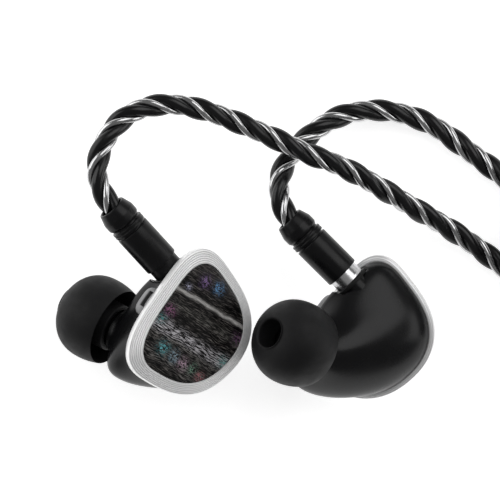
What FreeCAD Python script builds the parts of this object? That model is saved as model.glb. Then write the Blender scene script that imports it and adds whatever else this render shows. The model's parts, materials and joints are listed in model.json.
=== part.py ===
import FreeCAD
import Part
import math
import os

# A pair of in-ear monitors lying on a table with their cable. Millimetres, +Z up.
# Each earpiece is built in its own frame: +Z out of the faceplate, origin at the middle
# of the faceplate outline, on the shoulder of the metal bezel. The right earpiece is the
# left one mirrored through its faceplate, and both are then laid on the table.

VECTOR = FreeCAD.Vector
UP = VECTOR(0, 0, 1)
ORIGIN = VECTOR(0, 0, 0)

# Faceplate outline: four sides with softly rounded corners, in polar form.
FLAT_SIDE = 5.6            # distance of each side from the middle of the faceplate
TOP_SIDE = 7.3
FRONT_SIDE = 8.6
LOWER_SIDE = 10.1
FLAT_ANGLE = 142.0
SIDES = ((FLAT_ANGLE, FLAT_SIDE), (38.0, TOP_SIDE), (-40.0, FRONT_SIDE), (-118.5, LOWER_SIDE))
CORNER_SOFTNESS = 2.83
OUTLINE_POINTS = 24

# Bezel and faceplate
BEZEL_BAND = 1.75          # width of the sloping band, seen from in front
BEZEL_SLOPE = 0.8          # height of the sloping band
BEZEL_WALL = 1.1           # height of the upright side wall
BEZEL_SEAT = 0.6           # width of the seat under the band that holds the faceplate
BEZEL_LIP = 0.45           # thickness of metal left over that seat
PLATE_RECESS = 0.15        # faceplate surface below the bezel's inner edge
FIT_GAP = 0.05             # running gap between fitted pieces
CUT_OVER = 8.0             # how far a cutting tool runs past a wall
CUT_MARGIN = 1.0           # a cut starts and ends this far outside a piece
RING_OVERLAP = 0.1         # a cut ring reaches this far past the face it starts from

# Shell
SHELL_LEDGE = 0.7          # bezel stands proud of the shell by this much
SHELL_WALL = 1.0
SHELL_FULLNESS = 14.0      # how far the side goes straight down before it turns in
SHELL_NECK_PULL = 6.0      # how far the neck runs in line with the nozzle
SHELL_BULGE = 1.3          # swelling of the wall that carries the socket
BULGE_ANGLE = 112.0
BULGE_SPREAD = 34.0
HEEL_BULGE = 2.5           # swelling of the low end of the shell, away from the socket
HEEL_ANGLE = -135.0
HEEL_SPREAD = 60.0
SHELL_STATIONS = (0.0, 0.12, 0.26, 0.42, 0.58, 0.74, 0.88, 1.0)
NECK_RADIUS = 3.6
NECK_HOLE_DEPTH = 6.0      # how far the hole for the nozzle runs into the shell

# Nozzle and ear tip
TIP_CENTRE = VECTOR(-8.9, -0.9, -14.4)
NOZZLE_DIRECTION = VECTOR(-0.50, 0.38, -0.78)
NECK_TO_TIP = 4.6          # neck face to the widest part of the ear tip
NOZZLE_DIAMETER = 5.0
NOZZLE_BORE = 3.8
NOZZLE_LENGTH = 6.4
NOZZLE_STEM = 2.0          # length pressed into the shell
STEM_STEP = 0.2            # the stem is this much thinner than the nozzle
NECK_FLANGE = 0.5          # thickness of the flange that sits on the neck
NECK_FLANGE_INSET = 0.2    # the flange ends this far inside the neck's edge
NOZZLE_LIP = 0.35
NOZZLE_LIP_LENGTH = 1.0
NOZZLE_LIP_FLAT = 0.5
MESH_THICKNESS = 0.15
MESH_DEPTH = 0.6           # screen below the end of the nozzle
TIP_DIAMETER = 13.0
TIP_FRONT = 6.0            # widest part to the front of the dome
TIP_SKIRT = 3.2            # widest part to the rim of the skirt
TIP_THICKNESS = 0.75
TIP_MOUTH = 4.4
TIP_CORE_WALL = 0.8
TIP_CORE_END = 3.5
TIP_SKIRT_CURL = 0.008     # how the skirt draws in, with the square of its length
TIP_LIP_START = 0.90       # share of the front where the dome turns to its mouth
TIP_HOLLOW_END = 0.6       # share of the inner dome that stays hollow
TIP_CURVE_STEPS = 8
TIP_ROOT = 0.4             # share of it where the core tube leaves

# Socket and plug of the detachable cable, along one swivel axis
SOCKET_SEAT = VECTOR(-1.9, 6.6, -4.05)
SOCKET_DIRECTION = VECTOR(-0.68, 0.72, -0.14)
SPOTFACE_DIAMETER = 5.7
GASKET_DIAMETER = 5.4
GASKET_THICKNESS = 0.6
SOCKET_DIAMETER = 4.4
SOCKET_DEPTH = 4.0
SOCKET_BORE = 3.1
SOCKET_FLOOR = 0.9
CONTACT_DIAMETER = 0.9
CONTACT_BORE = 0.5
CONTACT_LENGTH = 1.6
CONTACT_TAIL = 0.4         # reach of the contact behind the socket
CONTACT_BORE_START = 1.0
COLLAR_DIAMETER = 4.8
COLLAR_GAP = 0.1           # collar face to the gasket
COLLAR_LENGTH = 1.65
COLLAR_SLOTS = 6
COLLAR_SLOT_WIDTH = 0.7
COLLAR_SLOT_DEPTH = 0.45
COLLAR_SLOT_START = 0.35   # plain edge of the collar before its slots
SLEEVE_DIAMETER = 2.8
SLEEVE_BORE = 2.0
SLEEVE_LENGTH = 2.6        # reach of the sleeve below the seat
SNAP_WIDTH = 0.5
SNAP_BITE = 0.12
SNAP_DEPTH = 1.3
SNAP_OPENING = 1.0         # gap in the spring ring
PIN_DIAMETER = 0.4
PIN_RECESS = 0.4           # end of the pin inside the sleeve
PIN_INSULATOR_START = 0.3
BARREL_DIAMETER = 5.4
BARREL_LENGTH = 6.7
BARREL_CHAMFER = 0.25
BAND_LENGTH = 0.9
GROOVE_LENGTH = 0.3
GROOVE_DEPTH = 0.35
CAP_LENGTH = 3.2
CAP_END_DIAMETER = 4.4
CAP_MOUTH_DEPTH = 1.6
CAP_STRAIGHT = 0.45        # share of the cap before its taper

# Inside each earpiece
DRIVER_DIAMETER = 8.6
DRIVER_HEIGHT = 2.8
DRIVER_WALL = 0.5
DRIVER_VENT_RADIUS = 0.5
DRIVER_CENTRE = VECTOR(0.4, -2.2, -5.1)
MAGNET_DIAMETER = 5.6
MAGNET_SETBACK = 1.4       # the magnet is this much lower than the cup is deep
MAGNET_BACK = 0.6
DIAPHRAGM_THICKNESS = 0.12
COIL_DIAMETER = 3.6
COIL_WALL = 0.3
COIL_LENGTH = 1.6
COIL_PLAY = 0.15           # air on each side of the voice coil
BOARD_SIZE = (6.0, 3.2, 0.5)
BOARD_PART_SIZE = (1.4, 1.2, 0.4)
BOARD_PART_INSET = 0.8
BOARD_PART_STEP = 2.6
BOARD_CORNER = VECTOR(-2.6, -4.6, -1.75)
ARMATURE_SIZE = (2.6, 1.8, 4.0)
ARMATURE_ROUND = 0.25
ARMATURE_GAP = 0.4         # armature driver to the end of the nozzle
SOUND_TUBE_DIAMETER = 1.7
SOUND_TUBE_BORE = 1.1
SOUND_TUBE_LENGTH = 5.5

# Raised vent pad beside the socket
VENT_LENGTH = 4.4
VENT_HEIGHT = 2.2
VENT_THICKNESS = 1.3
VENT_ROUND = 1.0
VENT_ANGLE = 160.0
VENT_ROOT = 2.0            # how far the pad is first drawn into the shell
VENT_SLOT_HEIGHT = 0.62    # share of the height at which the slot lies
VENT_SLOT = (2.4, 0.35, 0.7)

# How the pair lies
LEFT_MIDDLE = (-7.43, 1.26)
LEFT_TILT = 28.0
LEFT_TILT_TOWARDS = -8.0
RIGHT_MIDDLE = (19.27, 0.51)
RIGHT_TILT = 15.0
RIGHT_TILT_TOWARDS = 36.0

# Cable. Its routes are lists of chosen points on the table, each with its height.
CORD_DIAMETER = 3.4
MAIN_DIAMETER = 4.0
EXIT_RUN = 2.6
TABLE_GAP = 0.05           # a cord is drawn this far above the table
LEFT_ROUTE = (
    (-22.3, 22.9, 16.6), (-21.4, 27.0, 16.2), (-19.0, 30.7, 15.4), (-15.2, 33.0, 14.4),
    (-10.3, 33.5, 13.6), (-5.4, 32.4, 12.9), (-0.5, 30.5, 12.4), (4.6, 28.3, 12.1),
    (9.6, 25.9, 11.7), (14.6, 24.2, 10.4), (20.2, 21.1, 8.2), (25.5, 17.9, 5.5),
    (31.0, 14.8, 3.2), (37.0, 10.7, 1.9), (42.0, 6.6, 1.75), (46.6, 1.8, 1.75),
    (51.4, -2.4, 1.75))
RIGHT_ROUTE = (
    (5.0, 21.2, 8.6), (6.3, 25.0, 6.9), (9.4, 28.5, 5.4), (13.6, 31.6, 4.2),
    (18.7, 32.8, 3.0), (24.0, 32.3, 2.2), (29.1, 30.2, 1.85), (33.8, 26.6, 1.75),
    (38.6, 23.1, 1.75), (42.6, 19.4, 1.75), (45.3, 14.8, 1.75))

# The length that is put away: a twin coil of the two upper cords, then a coil of the main one
UPPER_COIL_MIDDLE = (62.0, 14.0)
UPPER_COIL_MEAN = 17.8
UPPER_COIL_SPACING = 3.6
UPPER_COIL_HEIGHT = 13.0
LEFT_COIL_ENTRY = 255.0
RIGHT_COIL_ENTRY = 195.0
MAIN_COIL_MIDDLE = (139.0, 15.2)
MAIN_COIL_MEAN = 21.0
MAIN_COIL_SPACING = 4.2
MAIN_COIL_HEIGHT = 17.2
MAIN_END_HEIGHT = 3.3      # where the last turn of the main coil ends
MAIN_RUN = 8.0             # straight run at each end of the main coil
LEAD_RUN = 6.0             # run of the main cord out of the splitter
LEAD_DROP = 0.5
LEAD_OFFSET = 0.2
END_OFFSET = 0.1
END_RISE = 0.3
TAIL_ROUTE = ((62.0, 11.1), (68.5, 11.0), (75.0, 10.6), (80.5, 7.6), (85.5, 4.6))
TAIL_BOW = 0.15            # small sideways play of the two tails
TAIL_ENTRY = 1.0           # how far a tail enters the splitter, and straightens before the slider
TAIL_RISE = 0.02
SLIDER_START = 91.0
SLIDER_LENGTH = 7.0
SLIDER_HEIGHT = 5.6
SPLITTER_START = 104.5
SPLITTER_LENGTH = 12.0
SPLITTER_COLLAR = 2.5
HOLE_GAP = 0.15

# Audio plug
PLUG_START = 123.0
PLUG_RELIEF_LENGTH = 5.0
PLUG_RELIEF_DIAMETER = 5.6
PLUG_RELIEF_STEP = 0.3     # how far its mouth is wider than the cord
PLUG_RELIEF_TAPER = 3.5
PLUG_HANDLE_DIAMETER = 7.8
PLUG_HANDLE_LENGTH = 17.0
PLUG_HANDLE_CHAMFER = 0.6
PLUG_NOSE_LENGTH = 2.0
PLUG_NOSE_STEP = 1.2
PLUG_PIN_DIAMETER = 3.5
PLUG_PIN_LENGTH = 14.0
PLUG_NECK_START = 3.4      # these three are measured back from the end of the pin
PLUG_WAIST_START = 2.6
PLUG_SWELL_START = 1.7
PLUG_WAIST_DEPTH = 0.45
PLUG_SWELL_DEPTH = 0.1
PLUG_END_RADIUS = 0.6
PLUG_BAND = 0.7
PLUG_BAND_DEPTH = 0.3
PLUG_BAND_PLACES = (5.0, 8.0)


def unit(vector):
    """The same direction with a length of one."""
    return VECTOR(vector).normalize()


NOZZLE_AXIS = unit(NOZZLE_DIRECTION)
SOCKET_AXIS = unit(SOCKET_DIRECTION)
NECK_CENTRE = TIP_CENTRE - NOZZLE_AXIS * NECK_TO_TIP


def outline_radius(degrees, grow):
    """Polar radius of the outline: a soft minimum over its four straight sides."""
    total = 0.0
    for side_angle, side_distance in SIDES:
        facing = math.cos(math.radians(degrees - side_angle))
        if facing > 0:
            total += (facing / (side_distance + grow)) ** CORNER_SOFTNESS
    return total ** (-1 / CORNER_SOFTNESS)


def closed_curve(points):
    """One smooth closed wire through the points."""
    curve = Part.BSplineCurve()
    curve.interpolate(Points=points, PeriodicFlag=True)
    return Part.Wire(curve.toShape())


def outline_wire(grow, height):
    """The faceplate outline, grown by a margin, at one height."""
    points = []
    for step in range(OUTLINE_POINTS):
        degrees = 360.0 * step / OUTLINE_POINTS
        radius = outline_radius(degrees, grow)
        across = radius * math.cos(math.radians(degrees))
        along = radius * math.sin(math.radians(degrees))
        points.append(VECTOR(across, along, height))
    return closed_curve(points)


def outline_slab(grow, low, high):
    """A flat plate of the outline between two heights."""
    face = Part.Face(outline_wire(grow, low))
    return face.extrude(VECTOR(0, 0, high - low))


def rod(base, axis, radius, length):
    """A round bar that starts at base and runs along axis."""
    return Part.makeCylinder(radius, length, base, axis)


def tube(base, axis, outer, inner, length):
    """A round tube that starts at base and runs along axis."""
    return rod(base, axis, outer, length).cut(rod(base, axis, inner, length))


def turned(profile, base, axis):
    """A solid of revolution from (radius, distance along axis) corners."""
    corners = [VECTOR(radius, 0, along) for radius, along in profile]
    face = Part.Face(Part.makePolygon(corners + corners[:1]))
    solid = face.revolve(ORIGIN, UP, 360)
    return stand_on(solid, base, axis)


def stand_on(shape, base, axis):
    """Turn a shape whose own axis is +Z to the given axis and move it to base."""
    shape = shape.copy()
    turn = FreeCAD.Rotation(UP, axis)
    shape.Placement = FreeCAD.Placement(base, turn)
    return shape


def neck_frame():
    """Two directions across the nozzle, the first as level as it can be."""
    first = unit(VECTOR(1, 0, 0) - NOZZLE_AXIS * NOZZLE_AXIS.x)
    return first, NOZZLE_AXIS.cross(first) * -1


def swelling(degrees, share, middle, spread):
    """From 0 to 1: highest halfway down the shell, in the direction of the middle."""
    away = (degrees - middle + 180) % 360 - 180
    return math.exp(-(away / spread) ** 2) * (4 * share * (1 - share)) ** 2


def shell_point(degrees, share, inset):
    """A point of the shell: each line leaves the bezel straight down and bends,
    as a cubic, to run out through the neck in line with the nozzle."""
    angle = math.radians(degrees)
    radius = outline_radius(degrees, BEZEL_BAND - SHELL_LEDGE - inset)
    rim = VECTOR(radius * math.cos(angle), radius * math.sin(angle), -BEZEL_WALL)
    first, second = neck_frame()
    neck_radius = NECK_RADIUS - inset
    swing = first * math.cos(angle) + second * math.sin(angle)
    neck = NECK_CENTRE + swing * neck_radius
    keep_rim = 2 * share ** 3 - 3 * share ** 2 + 1
    leave_rim = share ** 3 - 2 * share ** 2 + share
    keep_neck = 3 * share ** 2 - 2 * share ** 3
    reach_neck = share ** 3 - share ** 2
    down = UP * (inset - SHELL_FULLNESS)
    point = rim * keep_rim + down * leave_rim + neck * keep_neck
    point += NOZZLE_AXIS * (SHELL_NECK_PULL * reach_neck)
    heel = math.radians(HEEL_ANGLE)
    point += SOCKET_AXIS * (SHELL_BULGE * swelling(degrees, share, BULGE_ANGLE, BULGE_SPREAD))
    point += VECTOR(math.cos(heel), math.sin(heel), 0) * (
        HEEL_BULGE * swelling(degrees, share, HEEL_ANGLE, HEEL_SPREAD))
    return point


def shell_form(inset):
    """The closed form of the shell, drawn in by a wall thickness."""
    wires = []
    for share in SHELL_STATIONS:
        ring = []
        for step in range(OUTLINE_POINTS):
            ring.append(shell_point(360.0 * step / OUTLINE_POINTS, share, inset))
        wires.append(closed_curve(ring))
    return Part.makeLoft(wires, True, False)


def make_shell():
    """Back shell: hollow, with a spot-faced hole for the socket and a bore for the nozzle."""
    body = shell_form(0).cut(shell_form(SHELL_WALL))
    stem_hole = NOZZLE_DIAMETER / 2 - STEM_STEP + FIT_GAP
    bore = rod(NECK_CENTRE - NOZZLE_AXIS * NECK_HOLE_DEPTH, NOZZLE_AXIS, stem_hole, CUT_OVER)
    seat = rod(SOCKET_SEAT, SOCKET_AXIS, SPOTFACE_DIAMETER / 2, CUT_OVER)
    socket_base = SOCKET_SEAT - SOCKET_AXIS * (SOCKET_DEPTH + SHELL_WALL)
    hole = rod(socket_base, SOCKET_AXIS, SOCKET_DIAMETER / 2 + FIT_GAP, CUT_OVER)
    return body.cut(bore).cut(seat).cut(hole)


def make_bezel():
    """Metal ring with an upright wall and a sloping band round the faceplate."""
    wall = outline_slab(BEZEL_BAND, -BEZEL_WALL, 0)
    low = outline_wire(BEZEL_BAND, 0)
    high = outline_wire(0, BEZEL_SLOPE)
    band = Part.makeLoft([low, high], True, True)
    window = outline_slab(0, -BEZEL_WALL - CUT_MARGIN, BEZEL_SLOPE + CUT_MARGIN)
    seat = outline_slab(BEZEL_SEAT, -BEZEL_WALL - CUT_MARGIN, BEZEL_SLOPE - BEZEL_LIP)
    return wall.fuse(band).cut(window).cut(seat).removeSplitter()


def make_faceplate():
    """Resin faceplate: the part that shows in the window, on a wider flange."""
    flange_top = BEZEL_SLOPE - BEZEL_LIP - FIT_GAP
    plate = outline_slab(-FIT_GAP, flange_top, BEZEL_SLOPE - PLATE_RECESS)
    flange = outline_slab(BEZEL_SEAT - FIT_GAP, -BEZEL_WALL, flange_top)
    return plate.fuse(flange).removeSplitter()


def make_nozzle():
    """Metal nozzle: a stem in the shell, a flange on the neck and a lip for the ear tip."""
    outer = NOZZLE_DIAMETER / 2
    inner = NOZZLE_BORE / 2
    stem = outer - STEM_STEP
    flange = NECK_RADIUS - NECK_FLANGE_INSET
    lip_start = NOZZLE_LENGTH - NOZZLE_LIP_LENGTH
    profile = [(inner, -NOZZLE_STEM), (stem, -NOZZLE_STEM), (stem, 0), (flange, 0)]
    profile += [(flange, NECK_FLANGE), (outer, NECK_FLANGE), (outer, lip_start)]
    profile += [(outer + NOZZLE_LIP, lip_start), (outer + NOZZLE_LIP, lip_start + NOZZLE_LIP_FLAT)]
    profile += [(outer, NOZZLE_LENGTH), (inner, NOZZLE_LENGTH)]
    return turned(profile, NECK_CENTRE, NOZZLE_AXIS)


def make_nozzle_mesh():
    """Fine screen that closes the end of the nozzle."""
    start = NECK_CENTRE + NOZZLE_AXIS * (NOZZLE_LENGTH - MESH_DEPTH)
    return rod(start, NOZZLE_AXIS, NOZZLE_BORE / 2, MESH_THICKNESS)


def tip_curve(radius, front, low, high):
    """Quarter-ellipse side of the ear tip as a smooth edge between two heights."""
    points = []
    for step in range(TIP_CURVE_STEPS + 1):
        along = low + (high - low) * step / TIP_CURVE_STEPS
        swell = 1 - (max(along, 0) / front) ** 2
        skirt = 1 - TIP_SKIRT_CURL * min(along, 0) ** 2
        points.append(VECTOR(radius * math.sqrt(swell) * skirt, 0, along))
    curve = Part.BSplineCurve()
    curve.interpolate(Points=points)
    return curve.toShape()


def make_ear_tip():
    """Silicone ear tip: a thin dome that turns back over a core tube."""
    radius = TIP_DIAMETER / 2
    core_inner = NOZZLE_DIAMETER / 2 + NOZZLE_LIP + FIT_GAP
    core_outer = core_inner + TIP_CORE_WALL
    nozzle_end = NOZZLE_LENGTH - NECK_TO_TIP + FIT_GAP
    inner_front = TIP_FRONT - TIP_THICKNESS
    outer = tip_curve(radius, TIP_FRONT, -TIP_SKIRT, TIP_FRONT * TIP_LIP_START)
    inner = tip_curve(radius - TIP_THICKNESS, inner_front, -TIP_SKIRT, inner_front * TIP_HOLLOW_END)
    corners = [outer.Vertexes[-1].Point, VECTOR(TIP_MOUTH / 2, 0, TIP_FRONT)]
    corners += [VECTOR(TIP_MOUTH / 2, 0, nozzle_end), VECTOR(core_inner, 0, nozzle_end)]
    corners += [VECTOR(core_inner, 0, -TIP_CORE_END), VECTOR(core_outer, 0, -TIP_CORE_END)]
    corners += [VECTOR(core_outer, 0, inner_front * TIP_ROOT), inner.Vertexes[-1].Point]
    edges = [outer, inner]
    for first, second in zip(corners[:-1], corners[1:]):
        edges.append(Part.LineSegment(first, second).toShape())
    edges.append(Part.LineSegment(inner.Vertexes[0].Point, outer.Vertexes[0].Point).toShape())
    face = Part.Face(Part.Wire(Part.__sortEdges__(edges)))
    solid = face.revolve(ORIGIN, UP, 360)
    return stand_on(solid, TIP_CENTRE, NOZZLE_AXIS)


def make_socket():
    """Socket shell that the cable's plug snaps into."""
    base = SOCKET_SEAT - SOCKET_AXIS * SOCKET_DEPTH
    groove = tube(SOCKET_SEAT - SOCKET_AXIS * (SNAP_DEPTH + SNAP_WIDTH / 2 + FIT_GAP), SOCKET_AXIS,
                  SOCKET_BORE / 2 + SNAP_BITE, SOCKET_BORE / 2 - RING_OVERLAP, SNAP_WIDTH + 2 * FIT_GAP)
    return tube(base, SOCKET_AXIS, SOCKET_DIAMETER / 2, SOCKET_BORE / 2, SOCKET_DEPTH).cut(groove)


def make_socket_insulator():
    """Insulating floor of the socket with the hole for its contact."""
    base = SOCKET_SEAT - SOCKET_AXIS * SOCKET_DEPTH
    return tube(base, SOCKET_AXIS, SOCKET_BORE / 2, CONTACT_DIAMETER / 2, SOCKET_FLOOR)


def make_socket_contact():
    """Centre contact of the socket, bored for the plug's pin."""
    base = SOCKET_SEAT - SOCKET_AXIS * (SOCKET_DEPTH + CONTACT_TAIL)
    length = SOCKET_FLOOR + CONTACT_TAIL + CONTACT_LENGTH
    contact = rod(base, SOCKET_AXIS, CONTACT_DIAMETER / 2, length)
    bore_base = base + SOCKET_AXIS * CONTACT_BORE_START
    return contact.cut(rod(bore_base, SOCKET_AXIS, CONTACT_BORE / 2, length))


def make_gasket():
    """Flat ring on the spot face round the socket's mouth."""
    return tube(SOCKET_SEAT, SOCKET_AXIS, GASKET_DIAMETER / 2, SOCKET_BORE / 2, GASKET_THICKNESS)


def make_driver_frame():
    """Cup of the dynamic driver, open towards the nozzle."""
    base = DRIVER_CENTRE
    outer = DRIVER_DIAMETER / 2
    cup = rod(base, UP, outer, DRIVER_HEIGHT)
    well = rod(base - UP * CUT_MARGIN, UP, outer - DRIVER_WALL,
               DRIVER_HEIGHT + CUT_MARGIN - DRIVER_WALL)
    vent = rod(base, UP, DRIVER_VENT_RADIUS, DRIVER_HEIGHT + CUT_MARGIN)
    return cup.cut(well).cut(vent)


def make_driver_magnet():
    """Magnet pot on the floor of the driver's cup, with a round gap for the voice coil."""
    height = DRIVER_HEIGHT - MAGNET_SETBACK
    base = DRIVER_CENTRE + UP * (DRIVER_HEIGHT - DRIVER_WALL - height)
    pot = tube(base, UP, MAGNET_DIAMETER / 2, DRIVER_VENT_RADIUS, height)
    gap_outer = COIL_DIAMETER / 2 + COIL_PLAY
    gap_inner = COIL_DIAMETER / 2 - COIL_WALL - COIL_PLAY
    gap = tube(base, UP, gap_outer, gap_inner, height - MAGNET_BACK)
    return pot.cut(gap)


def make_driver_diaphragm():
    """Diaphragm across the mouth of the driver with its voice coil behind it."""
    radius = DRIVER_DIAMETER / 2 - DRIVER_WALL
    sheet = rod(DRIVER_CENTRE, UP, radius, DIAPHRAGM_THICKNESS)
    coil_inner = COIL_DIAMETER / 2 - COIL_WALL
    coil = tube(DRIVER_CENTRE, UP, COIL_DIAMETER / 2, coil_inner, COIL_LENGTH)
    return sheet.fuse(coil)


def make_crossover_board():
    """Small circuit board behind the faceplate."""
    length, width, thickness = BOARD_SIZE
    board = Part.makeBox(length, width, thickness, BOARD_CORNER)
    part_base = BOARD_CORNER + VECTOR(BOARD_PART_INSET, BOARD_PART_INSET, -BOARD_PART_SIZE[2])
    for index in range(2):
        corner = part_base + VECTOR(BOARD_PART_STEP * index, 0, 0)
        board = board.fuse(Part.makeBox(*BOARD_PART_SIZE, corner))
    return board


def armature_base():
    """Middle of the armature driver's sound outlet, on the nozzle axis."""
    return NECK_CENTRE - NOZZLE_AXIS * (NOZZLE_STEM + ARMATURE_GAP)


def make_armature_driver():
    """Balanced-armature driver: a small steel box in line with the nozzle."""
    across, deep, length = ARMATURE_SIZE
    box = Part.makeBox(across, deep, length, VECTOR(-across / 2, -deep / 2, 0))
    box = box.makeFillet(ARMATURE_ROUND, box.Edges)
    return stand_on(box, armature_base(), NOZZLE_AXIS * -1)


def make_sound_tube():
    """Flexible tube from the armature driver into the nozzle."""
    start = armature_base()
    return tube(start, NOZZLE_AXIS, SOUND_TUBE_DIAMETER / 2, SOUND_TUBE_BORE / 2, SOUND_TUBE_LENGTH)


def make_vent():
    """Raised pad on the flat side of the shell with a slot for air."""
    pad = Part.makeBox(VENT_THICKNESS + VENT_ROOT, VENT_LENGTH, VENT_HEIGHT,
                       VECTOR(-VENT_ROOT, -VENT_LENGTH / 2, 0))
    upright = [edge for edge in pad.Edges if round(abs(edge.tangentAt(edge.FirstParameter).x)) == 1]
    pad = pad.makeFillet(VENT_ROUND, upright)
    long_slot, wide_slot, deep_slot = VENT_SLOT
    slot = Part.makeBox(deep_slot * 2, long_slot, wide_slot,
                        VECTOR(VENT_THICKNESS - deep_slot, -long_slot / 2, VENT_HEIGHT * VENT_SLOT_HEIGHT))
    pad = pad.cut(slot)
    turn = FreeCAD.Rotation(UP, VENT_ANGLE)
    radius = outline_radius(VENT_ANGLE, BEZEL_BAND - SHELL_LEDGE)
    place = turn.multVec(VECTOR(radius, 0, 0)) + VECTOR(0, 0, -BEZEL_WALL - VENT_HEIGHT)
    pad.Placement = FreeCAD.Placement(place, FreeCAD.Rotation(UP, FLAT_ANGLE))
    return pad.cut(shell_form(0))


def earpiece_parts():
    """Every piece of the left earpiece, by its plain name, in the earpiece's frame."""
    return {
        "shell": make_shell(),
        "bezel": make_bezel(),
        "faceplate": make_faceplate(),
        "vent": make_vent(),
        "nozzle": make_nozzle(),
        "nozzle_mesh": make_nozzle_mesh(),
        "socket": make_socket(),
        "socket_insulator": make_socket_insulator(),
        "socket_contact": make_socket_contact(),
        "gasket": make_gasket(),
        "driver_frame": make_driver_frame(),
        "driver_magnet": make_driver_magnet(),
        "driver_diaphragm": make_driver_diaphragm(),
        "crossover_board": make_crossover_board(),
        "armature_driver": make_armature_driver(),
        "sound_tube": make_sound_tube(),
        "ear_tip": make_ear_tip(),
    }


def seat_point(distance):
    """A point on the swivel axis, measured outwards from the spot face."""
    return SOCKET_SEAT + SOCKET_AXIS * distance


COLLAR_START = GASKET_THICKNESS + COLLAR_GAP
BARREL_START = COLLAR_START + COLLAR_LENGTH
BAND_START = BARREL_START + BARREL_LENGTH + GROOVE_LENGTH
CAP_START = BAND_START + BAND_LENGTH + GROOVE_LENGTH
MOUTH = CAP_START + CAP_LENGTH


def make_plug_sleeve():
    """Slotted collar and spring sleeve of the plug, with a groove for the snap ring."""
    sleeve = rod(seat_point(-SLEEVE_LENGTH), SOCKET_AXIS, SLEEVE_DIAMETER / 2,
                 SLEEVE_LENGTH + COLLAR_START)
    collar = rod(seat_point(COLLAR_START), SOCKET_AXIS, COLLAR_DIAMETER / 2, COLLAR_LENGTH)
    bore = rod(seat_point(-SLEEVE_LENGTH - CUT_MARGIN), SOCKET_AXIS, SLEEVE_BORE / 2,
               SLEEVE_LENGTH + BARREL_START + 2 * CUT_MARGIN)
    body = sleeve.fuse(collar).cut(bore)
    for index in range(COLLAR_SLOTS):
        slot = Part.makeBox(COLLAR_SLOT_WIDTH, CUT_MARGIN, COLLAR_LENGTH,
                            VECTOR(-COLLAR_SLOT_WIDTH / 2, COLLAR_DIAMETER / 2 - COLLAR_SLOT_DEPTH, 0))
        slot.rotate(ORIGIN, UP, 360.0 * index / COLLAR_SLOTS)
        body = body.cut(stand_on(slot, seat_point(COLLAR_START + COLLAR_SLOT_START), SOCKET_AXIS))
    groove = tube(seat_point(-SNAP_DEPTH - SNAP_WIDTH / 2 - FIT_GAP), SOCKET_AXIS,
                  SLEEVE_DIAMETER / 2 + RING_OVERLAP, SLEEVE_DIAMETER / 2 - SNAP_BITE,
                  SNAP_WIDTH + 2 * FIT_GAP)
    return body.cut(groove)


def make_snap_ring():
    """Open spring ring in the sleeve's groove."""
    ring = tube(seat_point(-SNAP_DEPTH - SNAP_WIDTH / 2), SOCKET_AXIS,
                SOCKET_BORE / 2 - FIT_GAP, SLEEVE_DIAMETER / 2 - SNAP_BITE + FIT_GAP, SNAP_WIDTH)
    opening = Part.makeBox(SNAP_OPENING, SLEEVE_DIAMETER, 2 * SNAP_WIDTH,
                           VECTOR(-SNAP_OPENING / 2, SNAP_OPENING / 2, 0))
    return ring.cut(stand_on(opening, seat_point(-SNAP_DEPTH - SNAP_WIDTH), SOCKET_AXIS))


def make_plug_pin():
    """Centre pin of the plug in its insulator."""
    pin = rod(seat_point(PIN_RECESS - SLEEVE_LENGTH), SOCKET_AXIS, PIN_DIAMETER / 2,
              SLEEVE_LENGTH + PIN_RECESS)
    insulator = rod(seat_point(PIN_INSULATOR_START), SOCKET_AXIS, SLEEVE_BORE / 2,
                    BARREL_START - PIN_INSULATOR_START)
    return pin.fuse(insulator)


def make_plug_barrel():
    """Barrel of the plug, with a narrow band between two grooves before the cap."""
    radius = BARREL_DIAMETER / 2
    chamfer = BARREL_CHAMFER
    profile = [(0, 0), (radius - chamfer, 0), (radius, chamfer), (radius, BARREL_LENGTH - chamfer),
               (radius - chamfer, BARREL_LENGTH), (0, BARREL_LENGTH)]
    barrel = turned(profile, seat_point(BARREL_START), SOCKET_AXIS)
    neck = rod(seat_point(BARREL_START + BARREL_LENGTH), SOCKET_AXIS, radius - GROOVE_DEPTH,
               CAP_START - BARREL_START - BARREL_LENGTH)
    band = rod(seat_point(BAND_START), SOCKET_AXIS, radius, BAND_LENGTH)
    return barrel.fuse(neck).fuse(band)


def make_plug_cap():
    """Tapered end cap with a mouth for the cord."""
    radius = BARREL_DIAMETER / 2
    end = CAP_END_DIAMETER / 2
    throat = CORD_DIAMETER / 2
    profile = [(0, 0), (radius, 0), (radius, CAP_LENGTH * CAP_STRAIGHT), (end, CAP_LENGTH),
               (throat, CAP_LENGTH), (throat, CAP_LENGTH - CAP_MOUTH_DEPTH),
               (0, CAP_LENGTH - CAP_MOUTH_DEPTH)]
    return turned(profile, seat_point(CAP_START), SOCKET_AXIS)


def connector_parts():
    """Every piece of one detachable plug, by its plain name, in the earpiece's frame."""
    return {
        "plug_sleeve": make_plug_sleeve(),
        "snap_ring": make_snap_ring(),
        "plug_pin": make_plug_pin(),
        "plug_barrel": make_plug_barrel(),
        "plug_cap": make_plug_cap(),
    }


def tilt_turn(degrees, towards):
    """Rotation that leans +Z over by some degrees towards a compass direction."""
    heading = math.radians(towards)
    axis = VECTOR(-math.sin(heading), math.cos(heading), 0)
    return FreeCAD.Rotation(axis, degrees)


def lowest(shapes):
    """Height of the lowest point of some shapes."""
    heights = []
    for shape in shapes:
        heights += [point.z for point in shape.tessellate(0.02)[0]]
    return min(heights)


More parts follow.
